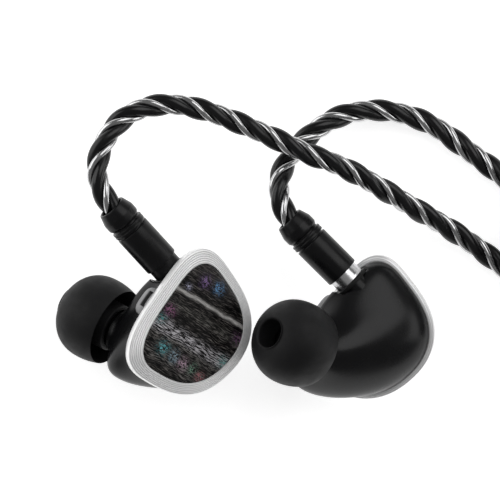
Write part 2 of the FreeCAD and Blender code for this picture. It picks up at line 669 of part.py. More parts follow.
def lay_down(pieces, middle, turn, mirrored):
    """Mirror, turn and lower an earpiece until its lowest piece touches the table."""
    turned_pieces = {}
    for name, shape in pieces.items():
        shape = shape.copy()
        if mirrored:
            shape = shape.mirror(ORIGIN, UP)
        shape.Placement = FreeCAD.Placement(ORIGIN, turn).multiply(shape.Placement)
        turned_pieces[name] = shape
    resting = ("bezel", "faceplate", "shell", "ear_tip")
    rest = lowest(turned_pieces[name] for name in resting)
    shift = VECTOR(middle[0], middle[1], -rest)
    for shape in turned_pieces.values():
        shape.translate(shift)
    return turned_pieces, shift


def laid_point(point, shift, turn, mirrored):
    """Where a point of the earpiece's frame lies on the table."""
    if mirrored:
        point = VECTOR(point.x, point.y, -point.z)
    return turn.multVec(point) + shift


def cord_wire(points):
    """Straight runs joined by tangent arcs as large as the runs allow."""
    edges = []
    start = points[0]
    radii = []
    for before, corner, after in zip(points[:-2], points[1:-1], points[2:]):
        arriving = (corner - before).normalize()
        leaving = (after - corner).normalize()
        half_turn = arriving.getAngle(leaving) / 2
        reach = 0.45 * min(before.distanceToPoint(corner), corner.distanceToPoint(after))
        radius = reach / math.tan(half_turn)
        radii.append(radius)
        inward = (leaving - arriving).normalize()
        middle = corner + inward * (radius / math.cos(half_turn) - radius)
        arc_start = corner - arriving * reach
        arc_end = corner + leaving * reach
        edges.append(Part.LineSegment(start, arc_start).toShape())
        edges.append(Part.Arc(arc_start, middle, arc_end).toShape())
        start = arc_end
    edges.append(Part.LineSegment(start, points[-1]).toShape())
    return Part.Wire(edges), radii


def cord_tube(name, points, diameter):
    """Round tube along a route, with its radii and its length printed."""
    wire, radii = cord_wire(points)
    first = (points[1] - points[0]).normalize()
    ring = Part.Wire(Part.makeCircle(diameter / 2, points[0], first))
    solid = wire.makePipeShell([ring], True, False)
    section = math.pi * diameter ** 2 / 4
    ratio = solid.Volume / (section * wire.Length)
    print(name, "length", round(wire.Length, 1), "volume ratio", round(ratio, 4),
          "radii", [round(radius, 1) for radius in radii])
    return solid


def ring_point(middle, radius, degrees, height):
    """A point on a coil."""
    angle = math.radians(degrees)
    return VECTOR(middle[0] + radius * math.cos(angle), middle[1] + radius * math.sin(angle), height)


def coil_ring(middle, mean, spacing, diameter, height):
    """The outer shape of a coil: a ring two turns wide."""
    half_width = spacing / 2 + diameter / 2
    base = VECTOR(middle[0], middle[1], 0)
    return tube(base, UP, mean + half_width, mean - half_width, height)


def tail_route(radius):
    """From the top of the upper coil down to the slider and into the splitter."""
    line = UPPER_COIL_MIDDLE[1] - radius
    points = []
    for index, (along, height) in enumerate(TAIL_ROUTE):
        points.append(VECTOR(along, line + TAIL_BOW * (-1) ** index, height))
    points.append(VECTOR(SLIDER_START - TAIL_ENTRY, line, SLIDER_HEIGHT / 2))
    points.append(VECTOR(SPLITTER_START + TAIL_ENTRY, line, SLIDER_HEIGHT / 2 + TAIL_RISE))
    return points


def oblong(length, height, spacing, start, line):
    """A bar along +X with round edges, wide enough for two cords side by side."""
    radius = height / 2
    base = VECTOR(start, line, radius)
    body = Part.makeBox(length, spacing, height, VECTOR(start, line - spacing / 2, 0))
    for side in (-1, 1):
        edge = base + VECTOR(0, side * spacing / 2, 0)
        body = body.fuse(rod(edge, VECTOR(1, 0, 0), radius, length))
    return body.removeSplitter()


def pair_holes(start, length, line):
    """Two round passages side by side along +X."""
    holes = []
    for side in (-1, 1):
        base = VECTOR(start, line + side * UPPER_COIL_SPACING / 2, SLIDER_HEIGHT / 2)
        holes.append(rod(base, VECTOR(1, 0, 0), CORD_DIAMETER / 2 + HOLE_GAP, length))
    return holes


def cable_parts(left_mouth, left_axis, right_mouth, right_axis):
    """Cords, coils, slider, splitter and audio plug."""
    inner = UPPER_COIL_MEAN - UPPER_COIL_SPACING / 2
    outer = UPPER_COIL_MEAN + UPPER_COIL_SPACING / 2
    line = UPPER_COIL_MIDDLE[1] - UPPER_COIL_MEAN
    lay = CORD_DIAMETER / 2 + TABLE_GAP
    left_points = [left_mouth, left_mouth + left_axis * EXIT_RUN]
    left_points += [VECTOR(*point) for point in LEFT_ROUTE]
    left_points.append(ring_point(UPPER_COIL_MIDDLE, outer, LEFT_COIL_ENTRY, lay))
    right_points = [right_mouth, right_mouth + right_axis * EXIT_RUN]
    right_points += [VECTOR(*point) for point in RIGHT_ROUTE]
    right_points.append(ring_point(UPPER_COIL_MIDDLE, inner, RIGHT_COIL_ENTRY, lay))
    splitter_line = VECTOR(SPLITTER_START + SPLITTER_LENGTH, line, SLIDER_HEIGHT / 2)
    main_inner = MAIN_COIL_MEAN - MAIN_COIL_SPACING / 2
    main_outer = MAIN_COIL_MEAN + MAIN_COIL_SPACING / 2
    main_lay = MAIN_DIAMETER / 2 + TABLE_GAP
    coil_foot = MAIN_COIL_MIDDLE[1] - main_inner
    lead_points = [splitter_line, splitter_line + VECTOR(LEAD_RUN, 0, -LEAD_DROP),
                   VECTOR(MAIN_COIL_MIDDLE[0] - MAIN_RUN, coil_foot - LEAD_OFFSET, main_lay),
                   VECTOR(MAIN_COIL_MIDDLE[0], coil_foot, main_lay)]
    plug_height = PLUG_HANDLE_DIAMETER / 2
    coil_back = MAIN_COIL_MIDDLE[1] + main_outer
    plug_end = VECTOR(PLUG_START, coil_back, plug_height)
    end_points = [VECTOR(MAIN_COIL_MIDDLE[0], coil_back, MAIN_END_HEIGHT),
                  VECTOR(MAIN_COIL_MIDDLE[0] - MAIN_RUN, coil_back + END_OFFSET,
                         MAIN_END_HEIGHT + END_RISE), plug_end]
    parts = {
        "left_cord": cord_tube("left_cord", left_points, CORD_DIAMETER),
        "right_cord": cord_tube("right_cord", right_points, CORD_DIAMETER),
        "left_cord_tail": cord_tube("left_cord_tail", tail_route(outer), CORD_DIAMETER),
        "right_cord_tail": cord_tube("right_cord_tail", tail_route(inner), CORD_DIAMETER),
        "main_cord_lead": cord_tube("main_cord_lead", lead_points, MAIN_DIAMETER),
        "main_cord_end": cord_tube("main_cord_end", end_points, MAIN_DIAMETER),
    }
    parts["upper_coil"] = coil_ring(UPPER_COIL_MIDDLE, UPPER_COIL_MEAN, UPPER_COIL_SPACING,
                                    CORD_DIAMETER, UPPER_COIL_HEIGHT)
    parts["main_coil"] = coil_ring(MAIN_COIL_MIDDLE, MAIN_COIL_MEAN, MAIN_COIL_SPACING,
                                   MAIN_DIAMETER, MAIN_COIL_HEIGHT)
    slider = oblong(SLIDER_LENGTH, SLIDER_HEIGHT, UPPER_COIL_SPACING, SLIDER_START, line)
    body = oblong(SPLITTER_LENGTH - SPLITTER_COLLAR, SLIDER_HEIGHT, UPPER_COIL_SPACING,
                  SPLITTER_START, line)
    for hole in pair_holes(SLIDER_START - CUT_MARGIN, SLIDER_LENGTH + 2 * CUT_MARGIN, line):
        slider = slider.cut(hole)
    for hole in pair_holes(SPLITTER_START - CUT_MARGIN, CUT_MARGIN + TAIL_ENTRY, line):
        body = body.cut(hole)
    parts["chin_slider"] = slider
    parts["splitter_body"] = body
    collar = tube(splitter_line - VECTOR(SPLITTER_COLLAR, 0, 0), VECTOR(1, 0, 0),
                  SLIDER_HEIGHT / 2, MAIN_DIAMETER / 2, SPLITTER_COLLAR)
    parts["splitter_collar"] = collar
    parts.update(audio_plug_parts(plug_end))
    return parts


def audio_plug_parts(end):
    """The 3.5 mm plug, from its strain relief to the tip of its pin, along -X."""
    axis = VECTOR(-1, 0, 0)
    handle_start = end + axis * PLUG_RELIEF_LENGTH
    pin_start = handle_start + axis * PLUG_HANDLE_LENGTH
    relief = turned([(0, 0), (MAIN_DIAMETER / 2 + PLUG_RELIEF_STEP, 0),
                     (PLUG_RELIEF_DIAMETER / 2, PLUG_RELIEF_TAPER),
                     (PLUG_RELIEF_DIAMETER / 2, PLUG_RELIEF_LENGTH), (0, PLUG_RELIEF_LENGTH)],
                    end, axis)
    radius = PLUG_HANDLE_DIAMETER / 2
    length = PLUG_HANDLE_LENGTH
    handle = turned([(0, 0), (radius - PLUG_HANDLE_CHAMFER, 0), (radius, PLUG_HANDLE_CHAMFER),
                     (radius, length - PLUG_NOSE_LENGTH), (radius - PLUG_NOSE_STEP, length),
                     (0, length)], handle_start, axis)
    pin_radius = PLUG_PIN_DIAMETER / 2
    nose = PLUG_PIN_LENGTH
    pin = turned([(0, 0), (pin_radius, 0), (pin_radius, nose - PLUG_NECK_START),
                  (pin_radius - PLUG_WAIST_DEPTH, nose - PLUG_WAIST_START),
                  (pin_radius - PLUG_SWELL_DEPTH, nose - PLUG_SWELL_START),
                  (PLUG_END_RADIUS, nose), (0, nose)], pin_start, axis)
    bands = []
    for place in PLUG_BAND_PLACES:
        start = pin_start + axis * place
        groove = tube(start, axis, pin_radius, pin_radius - PLUG_BAND_DEPTH, PLUG_BAND)
        bands.append(groove)
        pin = pin.cut(groove)
    return {
        "plug_relief": relief,
        "plug_handle": handle,
        "plug_contact": pin,
        "plug_insulators": Part.makeCompound(bands),
    }


def main():
    """Build every piece, lay it on the table and write one file for each."""
    os.makedirs("parts", exist_ok=True)
    pieces = earpiece_parts()
    pieces.update(connector_parts())
    sides = {
        "left": (LEFT_MIDDLE, tilt_turn(LEFT_TILT, LEFT_TILT_TOWARDS), False),
        "right": (RIGHT_MIDDLE, tilt_turn(-RIGHT_TILT, RIGHT_TILT_TOWARDS), True),
    }
    parts = {}
    ends = []
    for side, (middle, turn, mirrored) in sides.items():
        laid, shift = lay_down(pieces, middle, turn, mirrored)
        for name, shape in laid.items():
            parts[side + "_" + name] = shape
        mouth = laid_point(seat_point(MOUTH - CAP_MOUTH_DEPTH), shift, turn, mirrored)
        seat = laid_point(SOCKET_SEAT, shift, turn, mirrored)
        axis = (laid_point(seat_point(1), shift, turn, mirrored) - seat).normalize()
        neck = laid_point(NECK_CENTRE, shift, turn, mirrored)
        tip = laid_point(TIP_CENTRE, shift, turn, mirrored)
        ends += [mouth, axis]
        for label, point in (("shift", shift), ("cord start", mouth), ("seat", seat),
                             ("swivel axis", axis), ("neck", neck), ("tip", tip),
                             ("nozzle axis", (tip - neck).normalize())):
            print(side, label, [round(value, 4) for value in point])
    parts.update(cable_parts(*ends))
    for name, shape in parts.items():
        if not shape.isValid() or not shape.Solids:
            print("CHECK", name, shape.isValid(), len(shape.Solids))
        shape.exportStep("parts/" + name + ".step")
    print(len(parts), "parts")


main()
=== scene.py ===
# %% [markdown]
# # A pair of in-ear monitors
# Two small earpieces lie on a table, held up a little by their own cable. Each one is a
# polished black resin shell with a bright ridged ring, a resin faceplate, a silicone ear tip
# and a round plug that lets the cable turn and come off. This notebook builds their looks
# around a model whose sizes and joints are already settled, which it calls the frame.
# Everything is in metres in the end, but the numbers of so small an object read better in
# millimetres, so each shape is worked out in millimetres and scaled once, when it is placed.

# %% The tools and the frame
import json
import math

import bmesh
import bpy
import numpy as np
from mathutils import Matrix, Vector


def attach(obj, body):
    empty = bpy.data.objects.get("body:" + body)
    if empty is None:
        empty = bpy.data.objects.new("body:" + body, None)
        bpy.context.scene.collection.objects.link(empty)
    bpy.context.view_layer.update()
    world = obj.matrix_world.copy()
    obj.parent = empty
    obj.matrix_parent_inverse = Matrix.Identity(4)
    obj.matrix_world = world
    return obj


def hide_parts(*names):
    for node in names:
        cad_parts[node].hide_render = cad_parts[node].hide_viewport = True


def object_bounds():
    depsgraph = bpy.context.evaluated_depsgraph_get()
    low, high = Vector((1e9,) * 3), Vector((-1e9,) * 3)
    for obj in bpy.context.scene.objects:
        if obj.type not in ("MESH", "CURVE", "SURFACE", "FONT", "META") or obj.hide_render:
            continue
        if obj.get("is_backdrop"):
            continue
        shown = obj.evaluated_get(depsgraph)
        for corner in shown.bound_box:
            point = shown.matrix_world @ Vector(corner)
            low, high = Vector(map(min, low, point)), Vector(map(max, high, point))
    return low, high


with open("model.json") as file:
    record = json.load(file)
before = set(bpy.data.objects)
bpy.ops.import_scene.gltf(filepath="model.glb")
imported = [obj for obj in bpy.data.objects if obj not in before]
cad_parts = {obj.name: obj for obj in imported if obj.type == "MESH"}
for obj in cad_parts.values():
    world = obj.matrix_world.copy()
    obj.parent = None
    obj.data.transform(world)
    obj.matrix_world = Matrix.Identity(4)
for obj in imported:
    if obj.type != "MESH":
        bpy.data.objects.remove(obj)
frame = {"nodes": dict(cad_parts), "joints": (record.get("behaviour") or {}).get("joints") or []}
cad_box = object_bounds()
MM = 0.001
joints = {joint["name"]: joint for joint in frame["joints"]}

# %% [markdown]
# ## Surfaces from grids
# Nearly every piece here is one surface: a grid of points with two directions, such as
# round the piece and along its profile. Working the whole grid out at once with numpy is
# quick, and a mesh made that way has evenly spaced faces, which smooth shading likes.
# Where a row of the grid shrinks to one point, as at the top of a dome, its doubles are
# merged, and the faces are then turned to point outwards.

# %% A mesh from a grid
def grid_mesh(name, points, close_columns=False, uv=None):
    """A mesh whose faces are the cells of a grid: points has rows x columns x 3 numbers in
    metres. The last row joins the first, and the last column does too if the columns close.
    uv holds rows x columns x 2."""
    rows, columns = points.shape[:2]
    index = np.arange(rows * columns).reshape(rows, columns)
    index = np.vstack([index, index[:1]])
    if close_columns:
        index = np.hstack([index, index[:, :1]])
    cells = np.stack([index[:-1, :-1], index[1:, :-1], index[1:, 1:], index[:-1, 1:]], axis=-1)
    cells = cells.reshape(-1, 4)
    mesh = bpy.data.meshes.new(name)
    mesh.from_pydata(points.reshape(-1, 3).tolist(), [], cells.tolist())
    if uv is not None:
        layer = mesh.uv_layers.new(name="surface")
        layer.data.foreach_set("uv", uv.reshape(-1, 2)[cells.ravel()].ravel())
    return mesh


def finish_mesh(mesh):
    """Merge doubled points, drop empty faces, turn the faces outwards and shade them smooth."""
    work = bmesh.new()
    work.from_mesh(mesh)
    bmesh.ops.remove_doubles(work, verts=work.verts, dist=1e-7)
    bmesh.ops.dissolve_degenerate(work, edges=work.edges, dist=1e-7)
    bmesh.ops.recalc_face_normals(work, faces=work.faces)
    work.to_mesh(mesh)
    work.free()
    mesh.shade_smooth()
    return mesh


def add_piece(name, mesh, material, body, nodes):
    """Put a mesh in the scene as a piece that rides on a body and stands for some CAD nodes."""
    piece = bpy.data.objects.new(name, mesh)
    bpy.context.scene.collection.objects.link(piece)
    mesh.materials.append(material)
    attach(piece, body)
    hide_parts(*nodes)
    return piece


def join_meshes(name, meshes):
    """One mesh that holds the faces of several, each kept as a separate shell."""
    work = bmesh.new()
    for mesh in meshes:
        work.from_mesh(mesh)
        bpy.data.meshes.remove(mesh)
    joined = bpy.data.meshes.new(name)
    work.to_mesh(joined)
    work.free()
    joined.shade_smooth()
    return joined


# %% [markdown]
# ## Turned pieces
# The plugs, the ear tips and the gaskets were all made by turning, so each is a profile
# carried round an axis. Real edges are never sharp. Each corner of a profile becomes a
# short curve: a point that slides from one side of the corner to the other, pulled towards
# the corner on its way. That small round edge is what catches the light.

# %% Profiles with round corners
MOST_OF_SIDE = 0.48


def soft_profile(corners, rounding, steps=5, closed=False):
    """A polyline with its corners rounded: each corner c becomes the quadratic curve
    (1-t)^2 a + 2t(1-t) c + t^2 b, where a and b lie up to the rounding away along its sides,
    and never past the middle of a side."""
    corners = np.asarray(corners, float)
    before = np.roll(corners, 1, axis=0) - corners
    after = np.roll(corners, -1, axis=0) - corners
    before_length = np.linalg.norm(before, axis=1, keepdims=True)
    after_length = np.linalg.norm(after, axis=1, keepdims=True)
    reach_before = np.minimum(rounding, MOST_OF_SIDE * before_length) / before_length
    reach_after = np.minimum(rounding, MOST_OF_SIDE * after_length) / after_length
    start = (corners + before * reach_before)[:, None]
    end = (corners + after * reach_after)[:, None]
    t = np.linspace(0, 1, steps)[None, :, None]
    curve = (1 - t) ** 2 * start + 2 * t * (1 - t) * corners[:, None] + t ** 2 * end
    line = curve.reshape(-1, 2)
    if closed:
        return line
    return np.vstack([corners[:1], line[steps:-steps], corners[-1:]])


def unit(vector):
    """The same direction, one long."""
    return np.asarray(vector, float) / np.linalg.norm(vector)


def axis_frame(axis):
    """Three directions at right angles as columns, the last one along the axis."""
    first = unit(np.cross([1.0, 0, 0], axis))
    return np.stack([first, np.cross(axis, first), axis], axis=1)


def turned_points(profile, base, axis, sides=96):
    """Grid of a turned piece: a profile point (r, s) goes to base + r (cos a, sin a) across the
    axis + s along it, for each angle a."""
    angle = np.linspace(0, 2 * np.pi, sides, endpoint=False)[:, None]
    radius, along = profile[None, :, 0], profile[None, :, 1]
    local = np.stack([radius * np.cos(angle), radius * np.sin(angle),
                      along + 0 * angle], axis=-1)
    return np.asarray(base) + local @ axis_frame(axis).T


# %% [markdown]
# ## Where each earpiece lies
# An earpiece has a frame of its own: its third direction points out of the faceplate. Two
# of its directions are known in the model too, because they are joint axes: the one the plug
# turns on, and the one the ear tip pulls off along. Two directions and one point fix where
# the whole earpiece lies, so nothing has to be measured. The right earpiece is the left one
# mirrored through its faceplate.

# %% From an earpiece's own frame to the table
SOCKET_SEAT = np.array([-1.9, 6.6, -4.05])
SOCKET_AXIS = unit([-0.68, 0.72, -0.14])
NOZZLE_AXIS = unit([-0.50, 0.38, -0.78])
TIP_CENTRE = np.array([-8.9, -0.9, -14.4])
NECK_TO_TIP = 4.6
NECK_CENTRE = TIP_CENTRE - NECK_TO_TIP * NOZZLE_AXIS
MIRROR = {"left": np.array([1.0, 1, 1]), "right": np.array([1.0, 1, -1])}


def triad(first, second):
    """Directions at right angles as columns: the first, then two made from its cross product
    with the second."""
    across = unit(np.cross(first, second))
    return np.stack([unit(first), np.cross(across, unit(first)), across], axis=1)


def side_turn(side):
    """The rotation that takes the mirrored local directions to the joint axes on the table."""
    local = triad(MIRROR[side] * SOCKET_AXIS, MIRROR[side] * NOZZLE_AXIS)
    world = triad(joints[side + "_swivel"]["axis"], joints[side + "_tip_pull"]["axis"])
    return world @ local.T


def place(side, points):
    """Points of an earpiece's own frame in millimetres, on the table in metres."""
    seat = np.array(joints[side + "_swivel"]["pos_m"])
    from_seat = MIRROR[side] * (points - SOCKET_SEAT)
    return seat + MM * from_seat @ side_turn(side).T


SIDES = ("left", "right")
for side in SIDES:
    print(side, "tip at", (place(side, TIP_CENTRE) / MM).round(2),
          "faces", side_turn(side)[:, 2].round(2))

# %% [markdown]
# ## The camera
# The pair is seen from straight above, as things laid out on a table often are. A long lens
# from far away keeps the near and far parts at the same scale.

# %% Camera
CAMERA_MIDDLE = (0.9, 11.5)
CAMERA_HEIGHT = 1500.0
VIEW_WIDTH = 75.3
FOCUS_HEIGHT = 8.0

camera_data = bpy.data.cameras.new("camera")
camera = bpy.data.objects.new("camera", camera_data)
bpy.context.scene.collection.objects.link(camera)
camera.location = (CAMERA_MIDDLE[0] * MM, CAMERA_MIDDLE[1] * MM, CAMERA_HEIGHT * MM)
camera_data.sensor_width = 36.0
camera_data.lens = camera_data.sensor_width * (CAMERA_HEIGHT - FOCUS_HEIGHT) / VIEW_WIDTH
camera_data.clip_start = 0.01
camera_data.clip_end = 20.0
bpy.context.scene.camera = camera
print("lens", round(camera_data.lens), "mm")

# %% [markdown]
# ## The back shell
# The shell is cast and polished resin. Its rim follows the faceplate outline, and each line
# of its side leaves the rim straight down, then bends round to end in the nozzle, all as one
# cubic curve. Soft swellings carry the socket and fill out the heel at the low end. The seat
# of the plug is a round flat milled into the side: points inside the cutter's circle are
# pushed down to the flat, and a narrow ramp round it keeps the edge soft.

# %% Outline of the faceplate
SIDE_ANGLES = np.array([142.0, 38.0, -40.0, -118.5])
SIDE_DISTANCES = np.array([5.6, 7.3, 8.6, 10.1])
CORNER_SOFTNESS = 2.83
BEZEL_BAND = 1.75
BEZEL_SLOPE = 0.8
BEZEL_WALL = 1.1
SHELL_LEDGE = 0.7


def outline_radius(angle, grow):
    """Polar radius of the outline: the sum of (max(0, cos(angle - side)) / distance) to the
    softness, over the four sides, to the power -1/softness."""
    facing = np.cos(angle[..., None] - np.radians(SIDE_ANGLES))
    share = np.maximum(facing, 0) / (SIDE_DISTANCES + np.asarray(grow)[..., None])
    return (share ** CORNER_SOFTNESS).sum(-1) ** (-1 / CORNER_SOFTNESS)


def on_outline(angle, grow, height):
    """Points at the outline's radius in each direction, grown by a margin, at a height."""
    radius = outline_radius(angle, grow)
    return np.stack([radius * np.cos(angle), radius * np.sin(angle), height + 0 * radius], -1)


reach = outline_radius(np.radians(SIDE_ANGLES), np.zeros(4))
print("the outline reaches", reach.round(1), "mm towards its sides")

# %% Shell surface
NECK_RADIUS = 3.6
SHELL_FULLNESS = 14.0
SHELL_NECK_PULL = 6.0
SHELL_BULGE = 1.3
BULGE_ANGLE = math.radians(112.0)
BULGE_SPREAD = math.radians(34.0)
HEEL_BULGE = 2.5
HEEL_ANGLE = math.radians(-135.0)
HEEL_SPREAD = math.radians(60.0)
MILLED_RADIUS = 2.85
MILLED_EDGE = 0.22
END_INSET = 0.1


def smooth_step(value, low, high):
    """0 below low, 1 above high, and 3t^2 - 2t^3 between them."""
    t = np.clip((value - low) / (high - low), 0, 1)
    return t * t * (3 - 2 * t)


def swelling(angle, share, middle, spread):
    """exp(-(a / spread)^2) (4t(1-t))^2: highest halfway down, in the direction of the middle."""
    away = (angle - middle + np.pi) % (2 * np.pi) - np.pi
    return (np.exp(-(away / spread) ** 2) * (4 * share * (1 - share)) ** 2)[..., None]


def shell_side(angle, share):
    """Side of the shell: the Hermite cubic from the rim, leaving straight down, to the neck
    circle, arriving along the nozzle, plus a swelling for the socket and one for the heel."""
    rim = on_outline(angle, BEZEL_BAND - SHELL_LEDGE + 0 * angle, -BEZEL_WALL)
    first = unit(np.array([1.0, 0, 0]) - NOZZLE_AXIS * NOZZLE_AXIS[0])
    second = -np.cross(NOZZLE_AXIS, first)
    swing = first * np.cos(angle)[..., None] + second * np.sin(angle)[..., None]
    neck = NECK_CENTRE + NECK_RADIUS * swing
    t = share[..., None]
    side = rim * (2 * t ** 3 - 3 * t ** 2 + 1) + neck * (3 * t ** 2 - 2 * t ** 3)
    side = side + np.array([0, 0, -SHELL_FULLNESS]) * (t ** 3 - 2 * t ** 2 + t)
    side = side + NOZZLE_AXIS * SHELL_NECK_PULL * (t ** 3 - t ** 2)
    side = side + SOCKET_AXIS * SHELL_BULGE * swelling(angle, share, BULGE_ANGLE, BULGE_SPREAD)
    heel = np.array([math.cos(HEEL_ANGLE), math.sin(HEEL_ANGLE), 0])
    return side + heel * HEEL_BULGE * swelling(angle, share, HEEL_ANGLE, HEEL_SPREAD)


def mill_seat(points):
    """Push points above the socket's seat down to it inside the cutter's circle."""
    above = (points - SOCKET_SEAT) @ SOCKET_AXIS
    aside = points - SOCKET_SEAT - above[..., None] * SOCKET_AXIS
    reach = np.linalg.norm(aside, axis=-1)
    keep = smooth_step(reach, MILLED_RADIUS, MILLED_RADIUS + MILLED_EDGE)
    sink = np.where(above > 0, above * (1 - keep), 0)
    return points - sink[..., None] * SOCKET_AXIS


def shell_grid(rounds=300, stations=150):
    """The whole closed shell: a flat under the bezel, the side, and the face of the neck. A
    row set in from each end's edge keeps that edge crisp."""
    angle, share = np.meshgrid(np.linspace(0, 2 * np.pi, rounds, endpoint=False),
                               np.linspace(0, 1, stations), indexing="ij")
    side = mill_seat(shell_side(angle, share))
    rim_middle = np.array([0, 0, -BEZEL_WALL]) + 0 * side[:, :1]
    neck_middle = NECK_CENTRE + 0 * side[:, :1]
    under = side[:, :1] * (1 - END_INSET) + rim_middle * END_INSET
    face = side[:, -1:] * (1 - END_INSET) + neck_middle * END_INSET
    return np.concatenate([rim_middle, under, side, face, neck_middle], axis=1)


shell_form = shell_grid()
print("shell grid", shell_form.shape[:2])

# %% [markdown]
# ## The ridged ring
# The ring round the faceplate is machined metal. Its top slopes down from the faceplate to
# an upright wall, and fine grooves run all the way round on the slope, so that it shows
# thin bright lines that follow the outline. The grooves are in the profile itself: a cosine
# raised to a power is flat between grooves and sharp in them. The growth from the outline
# goes into the UV map, so that the material can paint shade into the same grooves by
# darkening their colour.

# %% Ring surface
RIDGE_START = 1.5
RIDGE_COUNT = 5
RIDGE_DEPTH = 0.10
RIDGE_SHARPNESS = 2.0
RIDGE_UV_SIZE = 2.0
INNER_LIP = 0.22
LIP_TOP = BEZEL_SLOPE - 0.10
RING_WALL = [[BEZEL_BAND, -BEZEL_WALL], [BEZEL_BAND, -0.5], [BEZEL_BAND, 0.0],
             [RIDGE_START, 0.115]]
RING_LIP = [[INNER_LIP - 0.05, LIP_TOP], [0.0, LIP_TOP], [0.0, 0.38], [0.6, 0.35],
            [0.6, -BEZEL_WALL]]


def ring_profile(slope_points=150):
    """Closed profile as (growth from the outline, height): wall, grooved slope, inner lip and
    the hidden side against the faceplate's flange."""
    share = np.linspace(0, 1, slope_points)
    grow = RIDGE_START + (INNER_LIP - RIDGE_START) * share
    slope = BEZEL_SLOPE * (1 - grow / BEZEL_BAND)
    groove = (0.5 - 0.5 * np.cos(2 * np.pi * RIDGE_COUNT * share)) ** RIDGE_SHARPNESS
    band = np.stack([grow, slope - RIDGE_DEPTH * groove], -1)
    wall = soft_profile(RING_WALL, 0.13, 7)
    lip = soft_profile([band[-1], *RING_LIP], 0.05, 5)
    return np.vstack([wall, band[1:-1], lip])


def ring_grid(rounds=420):
    """The ring's profile carried round the outline: each profile point grows the outline and
    sets the height."""
    profile = ring_profile()
    angle, grow = np.meshgrid(np.linspace(0, 2 * np.pi, rounds, endpoint=False),
                              profile[:, 0], indexing="ij")
    return on_outline(angle, grow, profile[None, :, 1])


ring_form = ring_grid()
ring_growth = np.broadcast_to(ring_profile()[:, 0], ring_form.shape[:2])
ring_uv = np.stack([ring_growth, ring_form[..., 2]], -1) / RIDGE_UV_SIZE
print("ring grid", ring_form.shape[:2])

# %% [markdown]
# ## The faceplate
# The faceplate is a slice of cast resin, polished to a very slight dome. Its pattern runs
# across it in one direction, so the mesh carries the plate's own flat coordinates as its UV
# map, and the material reads those.

# %% Faceplate surface
PLATE_GAP = -0.05
PLATE_EDGE_HEIGHT = 0.60
PLATE_EDGE_DROP = 0.03
PLATE_DOME = 0.22
PLATE_FLANGE = 0.55
PLATE_FLANGE_TOP = 0.30
PLATE_UV_SIZE = 24.0


def plate_grid(rounds=240, rings=48):
    """Closed plate: a dome whose height falls with the square of the distance from the
    middle, a rounded edge, the hidden flange and a flat back."""
    share = np.linspace(0, 1, rings)
    dome = PLATE_EDGE_HEIGHT + PLATE_DOME * (1 - share ** 2)
    dome[-1] -= PLATE_EDGE_DROP
    shares = np.append(share, [1.0, 1.0, 1.0, 0.0])
    grows = np.append(PLATE_GAP + 0 * share, [PLATE_GAP] + 3 * [PLATE_FLANGE])
    heights = np.append(dome, 2 * [PLATE_FLANGE_TOP] + 2 * [-BEZEL_WALL])
    angle, grow = np.meshgrid(np.linspace(0, 2 * np.pi, rounds, endpoint=False), grows,
                              indexing="ij")
    points = on_outline(angle, grow, 0 * grow)
    points[..., :2] *= shares[None, :, None]
    points[..., 2] = heights
    return points


plate_form = plate_grid()
plate_uv = plate_form[..., :2] / PLATE_UV_SIZE + 0.5
print("faceplate grid", plate_form.shape[:2])

# %% [markdown]
# ## The silicone ear tip
# An ear tip is one moulding: a dome that turns in at its mouth, runs back as a tube round
# the nozzle, and ends behind in a thin free skirt. Its dome is a little blunter than an
# ellipse, which a higher power gives. The profile closes on itself, so the tip has a real
# inside that shows when it is pulled off.

# %% Ear tip surface
TIP_RADIUS = 6.5
TIP_FRONT = 6.0
TIP_BLUNTNESS = 2.4
TIP_SKIRT = -3.2
SKIRT_DRAW = 0.008
DOME_TURN = math.radians(72.0)
MOUTH_AND_TUBE = [[2.62, 5.86], [2.2, 5.72], [2.2, 1.9], [2.92, 1.85], [2.92, -3.5],
                  [3.7, -3.5], [3.72, 1.6], [4.2, 2.2]]
SKIRT_INSIDE = [[5.3, 1.2], [5.72, -0.4], [5.85, -1.6], [5.95, -3.1]]


def tip_profile():
    """Closed profile (r, s) with s along the nozzle from the widest place. The dome is
    r = R (1 - (s / front)^p)^(1/2), and the skirt draws in with the square of s."""
    s_dome = TIP_FRONT * np.sin(np.linspace(0, DOME_TURN, 14))
    r_dome = TIP_RADIUS * np.sqrt(1 - (s_dome / TIP_FRONT) ** TIP_BLUNTNESS)
    s_skirt = np.linspace(TIP_SKIRT, -0.5, 6)
    r_skirt = TIP_RADIUS * (1 - SKIRT_DRAW * s_skirt ** 2)
    outer = np.stack([np.concatenate([r_skirt, r_dome]), np.concatenate([s_skirt, s_dome])], -1)
    return soft_profile(np.vstack([outer, MOUTH_AND_TUBE, SKIRT_INSIDE]), 0.32, 6, closed=True)


tip_form = turned_points(tip_profile(), TIP_CENTRE, NOZZLE_AXIS, 144)
print("ear tip grid", tip_form.shape[:2])

# %% [markdown]
# ## The plug's barrel, cap and gasket
# These are plain turned pieces along the axis that the plug swivels on. The distances are
# counted outwards from the milled seat. The cap tapers to a small rounded rim, and two
# narrow grooves set off a band between the cap and the barrel.

# %% Plug and gasket surfaces
BARREL_PROFILE = [[0, 2.36], [2.7, 2.36], [2.7, 9.05], [2.38, 9.05], [2.38, 9.35], [2.7, 9.35],
                  [2.7, 9.72], [2.62, 9.78], [2.62, 9.84], [2.7, 9.90],
                  [2.7, 10.25], [2.38, 10.25], [2.38, 10.54], [0, 10.54]]
CAP_PROFILE = [[0, 10.56], [2.42, 10.56], [2.7, 11.0], [2.7, 12.15], [2.24, 13.62],
               [2.16, 13.75], [1.92, 13.75], [1.82, 13.5], [1.72, 12.17], [0, 12.17]]
GASKET_PROFILE = [[1.57, 0.02], [2.7, 0.02], [2.7, 0.6], [1.57, 0.6]]

